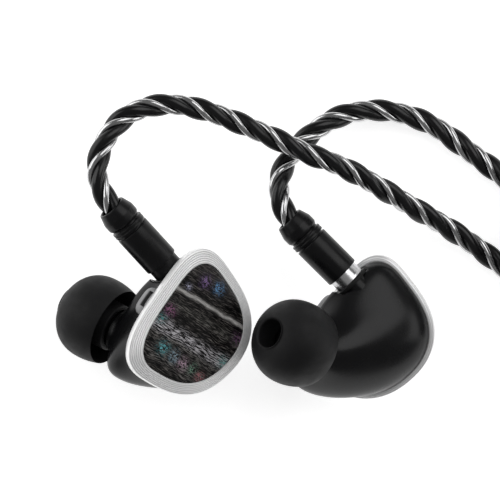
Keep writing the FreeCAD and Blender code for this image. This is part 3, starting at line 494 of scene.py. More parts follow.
barrel_form = turned_points(soft_profile(BARREL_PROFILE, 0.11, 6), SOCKET_SEAT, SOCKET_AXIS, 120)
cap_form = turned_points(soft_profile(CAP_PROFILE, 0.10, 6), SOCKET_SEAT, SOCKET_AXIS, 120)
gasket_form = turned_points(soft_profile(GASKET_PROFILE, 0.14, 6, closed=True),
                            SOCKET_SEAT, SOCKET_AXIS, 96)
print("barrel grid", barrel_form.shape[:2])

# %% [markdown]
# ## The vent tab
# Beside the plug a small pad of the same resin stands out of the shell, with a slot that lets
# air in. The pad is a rounded box: an ellipsoid whose sines and cosines are raised to a power
# below one. The slot is pressed into its outer face by the same smooth steps that mill the
# seat, and its depth is kept as a UV map for the material, which paints shade into the slot in
# black.

# %% Vent tab surface
VENT_ANGLE = math.radians(160.0)
VENT_FACING = math.radians(142.0)
VENT_HALF = np.array([1.75, 2.35, 1.18])
VENT_SQUARENESS = 0.58
SLOT_HALF_LENGTH = 1.25
SLOT_HALF_WIDTH = 0.20
SLOT_SOFT_EDGE = 0.12
SLOT_DEPTH = 0.7
SLOT_OFFSET = 0.72
VENT_SINK = 0.45
VENT_DROP = 1.16


def powered(value):
    """The value raised to the squareness, keeping its sign."""
    return np.sign(value) * np.abs(value) ** VENT_SQUARENESS


def vent_grid(rounds=260, stations=130):
    """Rounded box with its long side along the bezel: (cos v cos u, cos v sin u, sin v), each
    factor raised to the squareness, times the half sizes. Its UV map holds the slot's depth."""
    u, v = np.meshgrid(np.linspace(0, 2 * np.pi, rounds, endpoint=False),
                       np.linspace(-np.pi / 2, np.pi / 2, stations), indexing="ij")
    pad = np.stack([powered(np.cos(v)) * powered(np.cos(u)),
                    powered(np.cos(v)) * powered(np.sin(u)), powered(np.sin(v))], -1)
    pad = pad * VENT_HALF
    in_length = 1 - smooth_step(np.abs(pad[..., 1]), SLOT_HALF_LENGTH,
                                SLOT_HALF_LENGTH + SLOT_SOFT_EDGE)
    in_width = 1 - smooth_step(np.abs(pad[..., 2] - SLOT_OFFSET), SLOT_HALF_WIDTH,
                               SLOT_HALF_WIDTH + SLOT_SOFT_EDGE)
    outside = smooth_step(pad[..., 0], 0.8, 1.2)
    slot = in_length * in_width * outside
    pad[..., 0] -= SLOT_DEPTH * slot
    rim = on_outline(np.array(VENT_ANGLE), BEZEL_BAND - SHELL_LEDGE, -BEZEL_WALL)
    outward = np.array([math.cos(VENT_FACING), math.sin(VENT_FACING), 0])
    along = np.array([-outward[1], outward[0], 0])
    centre = rim - VENT_SINK * outward - np.array([0, 0, VENT_DROP])
    turn = np.stack([outward, along, [0, 0, 1]], axis=0)
    return centre + pad @ turn, np.stack([slot, 0 * slot], -1)


vent_form, vent_uv = vent_grid()
print("vent grid", vent_form.shape[:2])

# %% [markdown]
# ## The cords
# A cord here is four insulated strands twisted together: two thick black ones, and two
# thin silver ones that lie in the valleys between them. The route is one smooth curve
# through the air and along the table. The strands then follow it like the threads of a
# screw, each one a circle carried along the curve at a turning distance from it. The length
# that isn't needed is wound into coils, and a coil is only a loop of points on a circle.

# %% Routes of the three cords
CORD_DIAMETER = 3.4
MAIN_DIAMETER = 4.0
EXIT_RUN = 2.6
MOUTH_DISTANCE = 12.15
LEFT_ROUTE = (
    (-22.3, 22.9, 16.6), (-21.4, 27.0, 16.2), (-19.0, 30.7, 15.4), (-15.2, 33.0, 14.4),
    (-10.3, 33.5, 13.6), (-5.4, 32.4, 12.9), (-0.5, 30.5, 12.4), (4.6, 28.3, 12.1),
    (9.6, 25.9, 11.7), (14.6, 24.2, 10.4), (20.2, 21.1, 8.2), (25.5, 17.9, 5.5),
    (31.0, 14.8, 3.2), (37.0, 10.7, 1.9), (42.0, 6.6, 1.75), (46.6, 1.8, 1.75),
    (51.4, -2.4, 1.75))
RIGHT_ROUTE = (
    (5.0, 21.2, 8.6), (6.3, 25.0, 6.9), (9.4, 28.5, 5.4), (13.6, 31.6, 4.2),
    (18.7, 32.8, 3.0), (24.0, 32.3, 2.2), (29.1, 30.2, 1.85), (33.8, 26.6, 1.75),
    (38.6, 23.1, 1.75), (42.6, 19.4, 1.75), (45.3, 14.8, 1.75))
TAIL_ROUTE = ((62.0, 11.1), (68.5, 11.0), (75.0, 10.6), (80.5, 7.6), (85.5, 4.6))
UPPER_COIL_MIDDLE = (62.0, 14.0)
UPPER_COIL_MEAN = 17.8
UPPER_COIL_SPACING = 3.6
LEFT_CLIMB = ((255.0, 1.75), (525.0, 5.5), (978.0, 11.0))
RIGHT_CLIMB = ((195.0, 1.75), (978.0, 11.0))
MAIN_COIL_MIDDLE = (139.0, 15.2)
MAIN_COIL_MEAN = 21.0
MAIN_COIL_SPACING = 4.2
MAIN_CLIMB = ((270.0, 2.05), (1206.0, 12.97))
MAIN_DESCENT = ((1314.0, 14.6), (2036.0, 6.3), (2250.0, 3.3))
SPLITTER_START = 104.5
SPLITTER_END = 116.5
SLIDER_START = 91.0
SLIDER_LENGTH = 7.0
CORD_LINE_HEIGHT = 2.8
CORD_INTO_SPLITTER = 0.8
PLUG_START = 123.0
PLUG_HEIGHT = 3.9
COIL_APPROACH = 8.0
CROSSING_GAP = 15.0
POINTS_PER_TURN = 24


def coil_points(middle, radii, climb):
    """Points on a coil: climb lists (degrees, height). The angle grows steadily, the height
    changes evenly between them, and the radius goes evenly from the first to the last."""
    degrees, heights = np.array(climb).T
    count = int((degrees[-1] - degrees[0]) / 360 * POINTS_PER_TURN) + 2
    turned = np.linspace(degrees[0], degrees[-1], count)
    angle = np.radians(turned)
    radius = np.linspace(*radii, count)
    return np.stack([middle[0] + radius * np.cos(angle), middle[1] + radius * np.sin(angle),
                     np.interp(turned, degrees, heights)], -1)


def upper_route(side, route, radius, climb):
    """Out of the plug, along the table, up round the upper coil and down to the splitter."""
    mouth = place(side, SOCKET_SEAT + SOCKET_AXIS * MOUTH_DISTANCE) / MM
    axis = unit(joints[side + "_swivel"]["axis"])
    line = UPPER_COIL_MIDDLE[1] - radius
    coil = coil_points(UPPER_COIL_MIDDLE, (radius, radius), climb)
    tail = [[along, line, height] for along, height in TAIL_ROUTE]
    ends = [[along, line, CORD_LINE_HEIGHT]
            for along in (SLIDER_START - 1.0, SLIDER_START + SLIDER_LENGTH,
                          SPLITTER_START + CORD_INTO_SPLITTER)]
    return np.vstack([mouth, mouth + EXIT_RUN * axis, route, coil, tail, ends])


def main_route():
    """Out of the splitter, up the inner turns of the coil, over and down the outer ones,
    and into the audio plug."""
    line = UPPER_COIL_MIDDLE[1] - UPPER_COIL_MEAN
    inner = MAIN_COIL_MEAN - MAIN_COIL_SPACING / 2
    outer = MAIN_COIL_MEAN + MAIN_COIL_SPACING / 2
    foot = MAIN_COIL_MIDDLE[1] - inner
    start = [[SPLITTER_END - 0.5, line, CORD_LINE_HEIGHT], [SPLITTER_END + 6.0, line, 2.3],
             [MAIN_COIL_MIDDLE[0] - COIL_APPROACH, foot - 0.2, MAIN_CLIMB[0][1]]]
    up = coil_points(MAIN_COIL_MIDDLE, (inner, inner), MAIN_CLIMB)
    crossing = ((MAIN_CLIMB[-1][0] + CROSSING_GAP, MAIN_CLIMB[-1][1] + 0.2),
                (MAIN_DESCENT[0][0] - CROSSING_GAP, MAIN_DESCENT[0][1]))
    over = coil_points(MAIN_COIL_MIDDLE, (inner, outer), crossing)
    down = coil_points(MAIN_COIL_MIDDLE, (outer, outer), MAIN_DESCENT)
    back = MAIN_COIL_MIDDLE[1] + outer
    finish = [[MAIN_COIL_MIDDLE[0] - COIL_APPROACH, back + 0.1, 3.6],
              [PLUG_START, back, PLUG_HEIGHT]]
    return np.vstack([start, up, over, down, finish])


inner_radius = UPPER_COIL_MEAN - UPPER_COIL_SPACING / 2
outer_radius = UPPER_COIL_MEAN + UPPER_COIL_SPACING / 2
routes = {"left_cord": upper_route("left", LEFT_ROUTE, outer_radius, LEFT_CLIMB),
          "right_cord": upper_route("right", RIGHT_ROUTE, inner_radius, RIGHT_CLIMB),
          "main_cord": main_route()}
print({name: len(route) for name, route in routes.items()}, "points")


# %% The smooth line of a route
def smooth_line(name, route, step=0.4):
    """The route's NURBS spline, read back as a fine polyline and divided evenly by its length."""
    curve = bpy.data.curves.new(name + "_line", "CURVE")
    curve.dimensions = "3D"
    spline = curve.splines.new("NURBS")
    spline.points.add(len(route) - 1)
    weights = np.ones((len(route), 1))
    spline.points.foreach_set("co", np.hstack([route * MM, weights]).ravel())
    spline.order_u = 3
    spline.use_endpoint_u = True
    spline.resolution_u = 12
    holder = bpy.data.objects.new(name + "_line", curve)
    mesh = bpy.data.meshes.new_from_object(holder)
    line = np.empty(len(mesh.vertices) * 3)
    mesh.vertices.foreach_get("co", line)
    line = line.reshape(-1, 3)
    bpy.data.objects.remove(holder)
    bpy.data.meshes.remove(mesh)
    bpy.data.curves.remove(curve)
    travelled = np.concatenate([[0], np.cumsum(np.linalg.norm(np.diff(line, axis=0), axis=1))])
    even = np.linspace(0, travelled[-1], int(travelled[-1] / (step * MM)))
    return np.stack([np.interp(even, travelled, line[:, k]) for k in range(3)], -1), travelled[-1]


# %% Twisted strands
def line_frame(line):
    """Two directions across each point of a line: one level, to its left, and one upwards."""
    along = np.gradient(line, axis=0)
    along /= np.linalg.norm(along, axis=1, keepdims=True)
    left = np.cross([0.0, 0.0, 1.0], along)
    left /= np.linalg.norm(left, axis=1, keepdims=True)
    return left, np.cross(along, left)


def strand_mesh(name, line, length, strand, pitch, sides):
    """A strand (offset, radius, phase, finish): its centre is line + offset (cos a, sin a) across
    it, with a growing by one turn in each pitch, and its skin is a circle round that centre."""
    offset, radius, phase, finish = strand
    left, up = line_frame(line)
    turns = np.linspace(0, length / (pitch * MM), len(line))[:, None]
    angle = np.radians(phase) + 2 * np.pi * turns
    centre = line + MM * offset * (np.cos(angle) * left + np.sin(angle) * up)
    strand_left, strand_up = line_frame(centre)
    around = np.linspace(0, 2 * np.pi, sides, endpoint=False)[:, None, None]
    skin = centre + MM * radius * (np.cos(around) * strand_left + np.sin(around) * strand_up)
    ends = np.repeat(centre[None, [0, -1]], sides, axis=0)
    mesh = finish_mesh(grid_mesh(name, np.hstack([ends[:, :1], skin, ends[:, 1:]])))
    mesh.polygons.foreach_set("material_index", np.full(len(mesh.polygons), finish))
    return mesh


BLACK = 0
SILVER = 1
TWIST_PITCH = 12.7
UPPER_STRANDS = [(0.82, 0.88, 90.0, BLACK), (0.82, 0.88, 270.0, BLACK),
                 (1.08, 0.50, 0.0, SILVER), (1.08, 0.50, 180.0, SILVER)]
MAIN_STRANDS = [(0.96, 1.02, 90.0, BLACK), (0.96, 1.02, 270.0, BLACK),
                (1.22, 0.58, 0.0, SILVER), (1.22, 0.58, 180.0, SILVER)]


def twisted_cord(name, route, strands, sides):
    """The whole cord as one mesh of twisted strands, with the line that they follow."""
    line, length = smooth_line(name, route)
    meshes = [strand_mesh(name, line, length, strand, TWIST_PITCH, sides) for strand in strands]
    mesh = join_meshes(name, meshes)
    print(name, "is", round(length / MM), "mm long with", len(mesh.polygons), "faces")
    return mesh, line, length

# %% [markdown]
# ## Finishes
# Each finish is a Principled shader whose plain numbers sit on its own sockets. What
# changes over a surface comes from nodes. A group named micro relief is used by almost all
# of them: it turns a fine noise into a slightly uneven roughness and a slightly uneven
# surface, which is what keeps polished resin and metal from looking like computer plastic.

# %% Helpers that build nodes
def new_group(name, inputs, outputs):
    """A node group with number or vector sockets, and its input and output nodes."""
    group = bpy.data.node_groups.new(name, "ShaderNodeTree")
    kinds = {"value": "NodeSocketFloat", "vector": "NodeSocketVector"}
    for label, kind, default in inputs:
        made = group.interface.new_socket(label, in_out="INPUT", socket_type=kinds[kind])
        if default is not None:
            made.default_value = default
    for label, kind in outputs:
        group.interface.new_socket(label, in_out="OUTPUT", socket_type=kinds[kind])
    start = group.nodes.new("NodeGroupInput")
    end = group.nodes.new("NodeGroupOutput")
    return group, start, end


def add_node(tree, kind, links=(), **settings):
    """A node with its settings, and each (socket, source) pair linked or set to a number."""
    node = tree.nodes.new(kind)
    for key, value in settings.items():
        setattr(node, key, value)
    for socket, source in dict(links).items():
        if isinstance(source, bpy.types.NodeSocket):
            tree.links.new(source, node.inputs[socket])
        else:
            node.inputs[socket].default_value = source
    return node


def math_node(tree, operation, first, second=0.0, third=0.0, clamp=False):
    """A Math node's result."""
    return add_node(tree, "ShaderNodeMath", {0: first, 1: second, 2: third},
                    operation=operation, use_clamp=clamp).outputs[0]


def mix_colors(tree, amount, below, above):
    """A colour that goes from the one below to the one above with an amount. The one below
    may come from another node."""
    if isinstance(below, tuple):
        below = (*below, 1)
    return add_node(tree, "ShaderNodeMix", {"Factor": amount, "A": below, "B": (*above, 1)},
                    data_type="RGBA").outputs["Result"]


def share_between(tree, value, low, high):
    """From 0 to 1 as a value goes from low to high."""
    return add_node(tree, "ShaderNodeMapRange", {
        "Value": value, "From Min": low, "From Max": high}).outputs["Result"]


# %% A group for fine unevenness
relief, relief_in, relief_out = new_group(
    "micro relief",
    [("Vector", "vector", None), ("Fineness", "value", 900.0), ("Smoothest", "value", 0.1),
     ("Roughest", "value", 0.2), ("Depth", "value", 0.02)],
    [("Roughness", "value"), ("Normal", "vector")])
fine = add_node(relief, "ShaderNodeTexNoise",
                {"Vector": relief_in.outputs["Vector"], "Scale": relief_in.outputs["Fineness"],
                 "Detail": 4.0, "Roughness": 0.6})
broad_scale = math_node(relief, "MULTIPLY", relief_in.outputs["Fineness"], 0.12)
broad = add_node(relief, "ShaderNodeTexNoise",
                 {"Vector": relief_in.outputs["Vector"], "Scale": broad_scale, "Detail": 2.0})
spread = add_node(relief, "ShaderNodeMapRange",
                  {"Value": broad.outputs["Fac"], "From Min": 0.35, "From Max": 0.65,
                   "To Min": relief_in.outputs["Smoothest"],
                   "To Max": relief_in.outputs["Roughest"]})
uneven = add_node(relief, "ShaderNodeBump",
                  {"Height": fine.outputs["Fac"], "Strength": relief_in.outputs["Depth"],
                   "Distance": 0.0002})
relief.links.new(spread.outputs["Result"], relief_out.inputs["Roughness"])
relief.links.new(uneven.outputs["Normal"], relief_out.inputs["Normal"])
print("group", relief.name)


# %% The usual finish
def new_finish(name, **sockets):
    """A material with one Principled shader, whose sockets are set by name."""
    material = bpy.data.materials.new(name)
    material.use_nodes = True
    shader = material.node_tree.nodes["Principled BSDF"]
    for label, value in sockets.items():
        shader.inputs[label.replace("_", " ")].default_value = value
    return material, material.node_tree, shader


def object_place(tree):
    """Object coordinates, in metres."""
    return add_node(tree, "ShaderNodeTexCoord").outputs["Object"]


def use_relief(tree, shader, fineness, smoothest, roughest, depth):
    """Put the micro relief group before the shader's roughness and normal."""
    node = add_node(tree, "ShaderNodeGroup", {
        "Vector": object_place(tree), "Fineness": fineness, "Smoothest": smoothest,
        "Roughest": roughest, "Depth": depth}, node_tree=relief)
    for label in ("Roughness", "Normal"):
        tree.links.new(node.outputs[label], shader.inputs[label])


def cloudy_color(tree, shader, dark, light, scale):
    """A base colour that drifts between two values with a soft noise."""
    noise = add_node(tree, "ShaderNodeTexNoise",
                     {"Vector": object_place(tree), "Scale": scale, "Detail": 3.0})
    color = mix_colors(tree, noise.outputs["Fac"], dark, light)
    tree.links.new(color, shader.inputs["Base Color"])


def simple_finish(name, dark, light, fineness, smoothest, roughest, depth, **sockets):
    """A finish with a drifting colour and micro relief."""
    material, tree, shader = new_finish(name, **sockets)
    cloudy_color(tree, shader, dark, light, fineness * 0.2)
    use_relief(tree, shader, fineness, smoothest, roughest, depth)
    return material


DEEP_BLACK = ((0.003, 0.003, 0.0035), (0.006, 0.006, 0.0065))
shell_resin = simple_finish("shell resin", *DEEP_BLACK, 1500.0, 0.24, 0.30, 0.02,
                            Specular_IOR_Level=0.24)
silicone = simple_finish("silicone", (0.005, 0.005, 0.0055), (0.008, 0.008, 0.0085),
                         5000.0, 0.52, 0.62, 0.12, Specular_IOR_Level=0.2)
black_metal = simple_finish("black anodised metal", *DEEP_BLACK, 3000.0, 0.24, 0.34, 0.03,
                            Specular_IOR_Level=0.22)
rubber = simple_finish("black rubber", (0.005, 0.005, 0.005), (0.008, 0.008, 0.008),
                       4000.0, 0.45, 0.6, 0.08, Specular_IOR_Level=0.2)
black_strand = simple_finish("black strand", *DEEP_BLACK, 2500.0, 0.20, 0.30, 0.03,
                             Specular_IOR_Level=0.35)
silver_strand = simple_finish("silver strand", (0.34, 0.34, 0.342), (0.66, 0.66, 0.665),
                              4500.0, 0.12, 0.20, 0.05, Metallic=1.0)
steel = simple_finish("steel", (0.55, 0.55, 0.56), (0.66, 0.66, 0.67), 2500.0, 0.22, 0.34, 0.03,
                      Metallic=1.0)
gold = simple_finish("gold plate", (0.80, 0.56, 0.22), (0.88, 0.66, 0.30), 2500.0, 0.14, 0.24,
                     0.02, Metallic=1.0)
insulator = simple_finish("insulator", (0.03, 0.03, 0.03), (0.05, 0.05, 0.05), 2500.0, 0.4, 0.5,
                          0.04)
film = simple_finish("diaphragm film", (0.55, 0.50, 0.42), (0.68, 0.62, 0.52), 2500.0, 0.2, 0.3,
                     0.03)
laminate = simple_finish("board laminate", (0.02, 0.12, 0.06), (0.03, 0.17, 0.08), 2500.0, 0.35,
                         0.45, 0.04)
clear_tube = simple_finish("clear tube", (0.70, 0.70, 0.68), (0.80, 0.80, 0.78), 2500.0, 0.2,
                           0.3, 0.02)
collar_metal = simple_finish("satin metal", (0.72, 0.72, 0.73), (0.78, 0.78, 0.785), 2500.0,
                             0.26, 0.34, 0.01, Metallic=1.0)
print(len(bpy.data.materials), "finishes")


# %% Finishes that read a UV map
def uv_first(tree):
    """The first number of the UV map: the ring's growth, or the depth of the vent's slot."""
    flat = add_node(tree, "ShaderNodeTexCoord").outputs["UV"]
    return add_node(tree, "ShaderNodeSeparateXYZ", {"Vector": flat}).outputs["X"]


ridge_pitch = (RIDGE_START - INNER_LIP) / RIDGE_COUNT
bezel_metal, bezel_tree, bezel_shader = new_finish("ridged metal", Metallic=0.3)
ridge_phase = math_node(bezel_tree, "MULTIPLY_ADD", uv_first(bezel_tree),
                        2 * math.pi * RIDGE_UV_SIZE / ridge_pitch,
                        -2 * math.pi * RIDGE_START / ridge_pitch)
ridge_wave = math_node(bezel_tree, "COSINE", ridge_phase)
# Painted shade: the base colour darkens from near white to grey in each groove.
groove_painted_shade = share_between(bezel_tree, ridge_wave, 0.2, -0.9)
ring_color_with_painted_shade = mix_colors(bezel_tree, groove_painted_shade, (0.97, 0.97, 0.97), (0.70, 0.70, 0.705))
bezel_tree.links.new(ring_color_with_painted_shade, bezel_shader.inputs["Base Color"])
use_relief(bezel_tree, bezel_shader, 1500.0, 0.34, 0.42, 0.0)

vent_resin, vent_tree, vent_shader = new_finish("vent resin")
# Painted shade: the base colour goes to black with the slot's depth.
slot_painted_shade = share_between(vent_tree, uv_first(vent_tree), 0.02, 0.30)
vent_color_with_painted_shade = mix_colors(vent_tree, slot_painted_shade, (0.27, 0.27, 0.275), (0.001, 0.001, 0.001))
vent_tree.links.new(vent_color_with_painted_shade, vent_shader.inputs["Base Color"])
use_relief(vent_tree, vent_shader, 2500.0, 0.45, 0.55, 0.02)
print("ridges", RIDGE_COUNT, "at", round(ridge_pitch, 3), "mm")

# %% [markdown]
# ## The streaked faceplate
# The plate is cut from a block in which threads and flakes were set in layers, so that the
# cut shows slanting streaks. The material first turns the plate's coordinates so that one runs
# along the streaks and one across them, in millimetres. A slow noise bends the across
# coordinate, which makes every band wavy. Each band is then a bell curve of the distance from
# its middle line, broken up by a noise that is stretched along the streaks. Coloured flakes
# are the cells of a Voronoi pattern, lit only near chosen spots.

# %% Streaked resin
STREAK_ANGLE = math.radians(-29.5)
BANDS = [  # across, width, strength, grain, colour
    (2.55, 0.26, 1.7, 0.6, (0.50, 0.485, 0.47)), (-3.7, 0.95, 2.1, 1.0, (0.58, 0.56, 0.59)),
    (6.9, 1.5, 0.55, 0.8, (0.12, 0.11, 0.11)), (0.2, 0.8, 0.65, 0.9, (0.19, 0.185, 0.17)),
    (-5.2, 0.8, 0.85, 1.0, (0.19, 0.18, 0.165)), (-7.9, 1.0, 0.85, 1.0, (0.22, 0.21, 0.20))]
FLAKES = [  # along, across, reach, strength, colour
    (1.1, 5.7, 0.75, 1.7, (0.13, 0.30, 0.55)), (-1.4, 5.5, 0.8, 1.0, (0.32, 0.20, 0.45)),
    (-3.6, 3.5, 0.45, 1.2, (0.45, 0.45, 0.60)), (-4.5, -1.0, 0.8, 1.1, (0.36, 0.14, 0.28)),
    (7.9, 0.7, 0.9, 0.9, (0.22, 0.08, 0.22)), (7.3, -3.6, 0.8, 0.9, (0.14, 0.38, 0.36)),
    (-5.2, -2.8, 0.8, 0.9, (0.10, 0.30, 0.30)), (-2.7, -6.4, 0.8, 1.6, (0.14, 0.46, 0.50)),
    (-0.5, -6.7, 0.8, 1.3, (0.30, 0.42, 0.50)), (1.4, -6.9, 0.8, 1.3, (0.55, 0.38, 0.48)),
    (3.2, -6.8, 0.7, 1.0, (0.20, 0.36, 0.26)), (4.9, -7.3, 0.7, 1.0, (0.42, 0.16, 0.18))]
PLATE_BLACK = (0.003, 0.003, 0.003)
STREAK_BROWN = (0.140, 0.128, 0.120)
BAND_WAVE = 0.8

plate_resin, plate_tree, plate_shader = new_finish("faceplate resin", Specular_IOR_Level=0.3)
plate_place = add_node(plate_tree, "ShaderNodeTexCoord").outputs["UV"]
plate_turned = add_node(plate_tree, "ShaderNodeMapping", {
    "Vector": plate_place, "Location": (-PLATE_UV_SIZE / 2, -PLATE_UV_SIZE / 2, 0),
    "Scale": (PLATE_UV_SIZE, PLATE_UV_SIZE, 1)}).outputs[0]
plate_turned = add_node(plate_tree, "ShaderNodeMapping", {
    "Vector": plate_turned, "Rotation": (0, 0, -STREAK_ANGLE)}).outputs[0]
plate_axes = add_node(plate_tree, "ShaderNodeSeparateXYZ", {"Vector": plate_turned})
along_streak = plate_axes.outputs["X"]
bend = add_node(plate_tree, "ShaderNodeTexNoise",
                {"Vector": plate_turned, "Scale": 0.28, "Detail": 2.0}).outputs["Fac"]
bend = math_node(plate_tree, "MULTIPLY_ADD", bend, BAND_WAVE, -BAND_WAVE / 2)
across_streak = math_node(plate_tree, "ADD", plate_axes.outputs["Y"], bend)


def stretched_noise(along_scale, across_scale, low, high):
    """Noise drawn out along the streaks, from 0 to 1 between two of its values."""
    stretched = add_node(plate_tree, "ShaderNodeCombineXYZ", {
        "X": math_node(plate_tree, "MULTIPLY", along_streak, along_scale),
        "Y": math_node(plate_tree, "MULTIPLY", across_streak, across_scale)})
    noise = add_node(plate_tree, "ShaderNodeTexNoise", {
        "Vector": stretched.outputs[0], "Scale": 1.0, "Detail": 5.0, "Roughness": 0.65})
    return share_between(plate_tree, noise.outputs["Fac"], low, high)


def lay_over(below, squared, width, texture, strength, color):
    """The colour below with another laid over it, by exp(-(d / width)^2) of a squared
    distance times a texture and a strength, and never by more than one."""
    share = math_node(plate_tree, "MULTIPLY", squared, -1 / width ** 2)
    amount = math_node(plate_tree, "MULTIPLY", math_node(plate_tree, "EXPONENT", share), texture)
    amount = math_node(plate_tree, "MULTIPLY", amount, strength, clamp=True)
    return mix_colors(plate_tree, amount, below, color)


# %% Streaks, bands and flakes
coarse_grain = stretched_noise(0.30, 1.7, 0.40, 0.60)
fine_grain = stretched_noise(0.7, 6.5, 0.49, 0.60)
grain = math_node(plate_tree, "MULTIPLY", coarse_grain, fine_grain)
plate_color = mix_colors(plate_tree, grain, PLATE_BLACK, STREAK_BROWN)
for middle, width, strength, broken, color in BANDS:
    offset = math_node(plate_tree, "SUBTRACT", across_streak, middle)
    squared = math_node(plate_tree, "MULTIPLY", offset, offset)
    texture = math_node(plate_tree, "MULTIPLY_ADD", fine_grain, broken, 1.0 - broken)
    plate_color = lay_over(plate_color, squared, width, texture, strength, color)
cells = add_node(plate_tree, "ShaderNodeTexVoronoi", {"Vector": plate_turned, "Scale": 6.0})
cell_pick = add_node(plate_tree, "ShaderNodeSeparateColor", {"Color": cells.outputs["Color"]})
cell_light = share_between(plate_tree, cell_pick.outputs["Red"], 0.35, 0.95)
for along, across, reach, strength, color in FLAKES:
    x_off = math_node(plate_tree, "SUBTRACT", along_streak, along)
    y_off = math_node(plate_tree, "SUBTRACT", plate_axes.outputs["Y"], across)
    squared = math_node(plate_tree, "MULTIPLY_ADD", x_off, x_off,
                        math_node(plate_tree, "MULTIPLY", y_off, y_off))
    plate_color = lay_over(plate_color, squared, reach, cell_light, strength, color)
plate_tree.links.new(plate_color, plate_shader.inputs["Base Color"])
use_relief(plate_tree, plate_shader, 1500.0, 0.10, 0.16, 0.02)
print(len(plate_tree.nodes), "nodes in the faceplate's finish")

# %% [markdown]
# ## Putting the pieces in place
# Each form is now moved to its earpiece, turned into a mesh, and given its finish and its
# body. The long main cord gets strands with fewer sides, which keeps its mesh light. The
# small plain fittings, and the pieces that nobody sees until something is taken apart, keep
# the shapes they have in the frame and only get a finish. The left plug's collar is the same
# bare metal as the right one, but it gets a dark finish as painted shade, and the right one
# shows bare metal.

# %% Earpiece pieces
EAR_PIECES = [  # name, form, finish, body, slot, whether its profile is closed, UV map
    ("shell", shell_form, shell_resin, "earpiece", "shell_resin", False, None),
    ("bezel", ring_form, bezel_metal, "earpiece", "bezel_metal", True, ring_uv),
    ("faceplate", plate_form, plate_resin, "earpiece", "faceplate_resin", False, plate_uv),
    ("vent", vent_form, vent_resin, "earpiece", "vent_resin", False, vent_uv),
    ("gasket", gasket_form, rubber, "earpiece", "gasket_rubber", True, None),
    ("ear_tip", tip_form, silicone, "ear_tip", "silicone", True, None),
    ("plug_barrel", barrel_form, black_metal, "cable", "black_metal", False, None),
    ("plug_cap", cap_form, black_metal, "cable", "black_metal", False, None),
]
for side in SIDES:
    for label, form, material, body, slot, ring_like, uv in EAR_PIECES:
        name = side + "_" + label
        mesh = finish_mesh(grid_mesh(name + "_form", place(side, form), ring_like, uv))
        body_name = body if body == "cable" else side + "_" + body
        add_piece(name + "_form", mesh, material, body_name, [name])

# %% Cord pieces
CORD_PIECES = {  # strands, sides of a strand, the nodes that the cord stands for
    "left_cord": (UPPER_STRANDS, 16, ["left_cord", "left_cord_tail", "upper_coil"]),
    "right_cord": (UPPER_STRANDS, 16, ["right_cord", "right_cord_tail"]),
    "main_cord": (MAIN_STRANDS, 12, ["main_cord_lead", "main_coil", "main_cord_end"])}
cord_lines = {}
for name, (strands, sides, nodes) in CORD_PIECES.items():
    mesh, line, length = twisted_cord(name + "_strands", routes[name], strands, sides)
    cord_lines[name] = (line, length)
    add_piece(name + "_strands", mesh, black_strand, "cable",
                             nodes)
    mesh.materials.append(silver_strand)

# %% Finishes of the pieces that keep their shape
KEPT_FINISHES = {
    "nozzle": black_metal, "nozzle_mesh": steel, "socket": black_metal,
    "socket_insulator": insulator, "socket_contact": gold, "driver_frame": steel,
    "driver_magnet": steel, "driver_diaphragm": film, "crossover_board": laminate,
    "armature_driver": steel, "sound_tube": clear_tube, "plug_sleeve": collar_metal,
    "snap_ring": steel, "plug_pin": gold}
CABLE_FINISHES = {
    "chin_slider": rubber, "splitter_body": black_metal, "splitter_collar": collar_metal,
    "plug_relief": rubber, "plug_handle": black_metal, "plug_contact": gold,
    "plug_insulators": insulator}
kept = {side + "_" + name: finish for side in SIDES for name, finish in KEPT_FINISHES.items()}
kept.update(CABLE_FINISHES)
# Painted shade: the left plug's collar gets the dark finish instead of bare metal.
kept["left_plug_sleeve"] = black_metal
for name, finish in kept.items():
    mesh = frame["nodes"][name].data
    mesh.materials.clear()
    mesh.materials.append(finish)
print(len(kept), "nodes keep their shape")

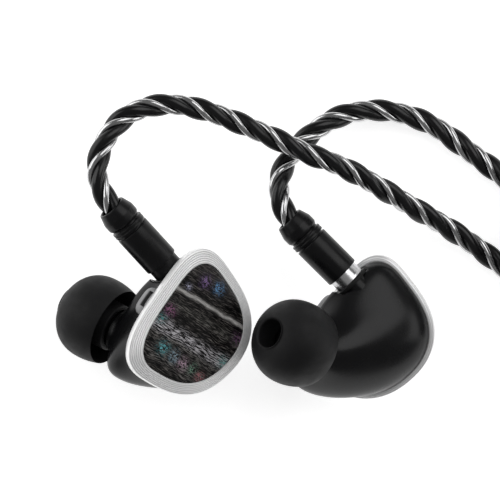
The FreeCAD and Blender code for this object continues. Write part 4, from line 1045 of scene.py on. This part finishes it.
# %% What the cords are
CORD_FACTS = {
    "left_cord": (CORD_DIAMETER, "fitting", ["splitter_body", "chin_slider"]),
    "right_cord": (CORD_DIAMETER, "fitting", ["splitter_body", "splitter_collar"]),
    "main_cord": (MAIN_DIAMETER, "plug", ["plug_relief", "plug_handle", "plug_contact",
                                          "plug_insulators"])}
for name, (diameter, far_end, on_it) in CORD_FACTS.items():
    line, length = cord_lines[name]

# %% [markdown]
# ## Table and light
# The table is a white light table: it glows a little itself, so that shadows stay faint.
# A polished black surface mirrors about a twentieth of whatever it faces, and the bright
# metal most of it. Wide panels about as bright as the table give the metal its shine and
# the resin its soft grey patches, and the dark room between them keeps the resin black.
# A panel's power is its brightness times pi times its area.

# %% Table and lights
bpy.ops.mesh.primitive_plane_add(size=6.0, location=(0, 0, 0))
table_top = bpy.context.object
table_top.name = "table_top"
table_finish, table_tree, table_shader = new_finish(
    "white table", Roughness=0.7, Emission_Color=(1, 1, 1, 1), Emission_Strength=0.72)
cloudy_color(table_tree, table_shader, (0.84, 0.84, 0.84), (0.87, 0.87, 0.87), 3.0)
table_top.data.materials.append(table_finish)
table_top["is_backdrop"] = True


def soft_panel(name, direction, distance, size, brightness):
    """A square light that shines at the pair from a direction."""
    data = bpy.data.lights.new(name, "AREA")
    data.size = size
    data.energy = brightness * math.pi * size ** 2
    panel = bpy.data.objects.new(name, data)
    bpy.context.scene.collection.objects.link(panel)
    towards = Vector(direction).normalized()
    panel.location = towards * distance
    panel.rotation_mode = "QUATERNION"
    panel.rotation_quaternion = (-towards).to_track_quat("-Z", "Y")


soft_panel("upper panel", (0.45, 0.48, 0.75), 0.8, 0.62, 1.9)
soft_panel("left panel", (-0.80, 0.30, 0.42), 1.0, 0.9, 2.0)
soft_panel("right panel", (0.95, 0.10, 0.15), 0.8, 0.5, 2.0)
world = bpy.data.worlds.new("studio")
bpy.context.scene.world = world
world.use_nodes = True
background = world.node_tree.nodes["Background"]
background.inputs["Color"].default_value = (1, 1, 1, 1)
background.inputs["Strength"].default_value = 0.2
bpy.context.scene.view_settings.view_transform = "Standard"

# %% [markdown]
# ## Sizes, and the end
# The looks must stay inside the box of the model they dress, so both boxes are printed.

# %% Sizes and finish
visual_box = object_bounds()
for label, box in (("CAD", cad_box), ("visual", visual_box)):
    print(label, "box in mm", (np.array(box) / MM).round(1).tolist())
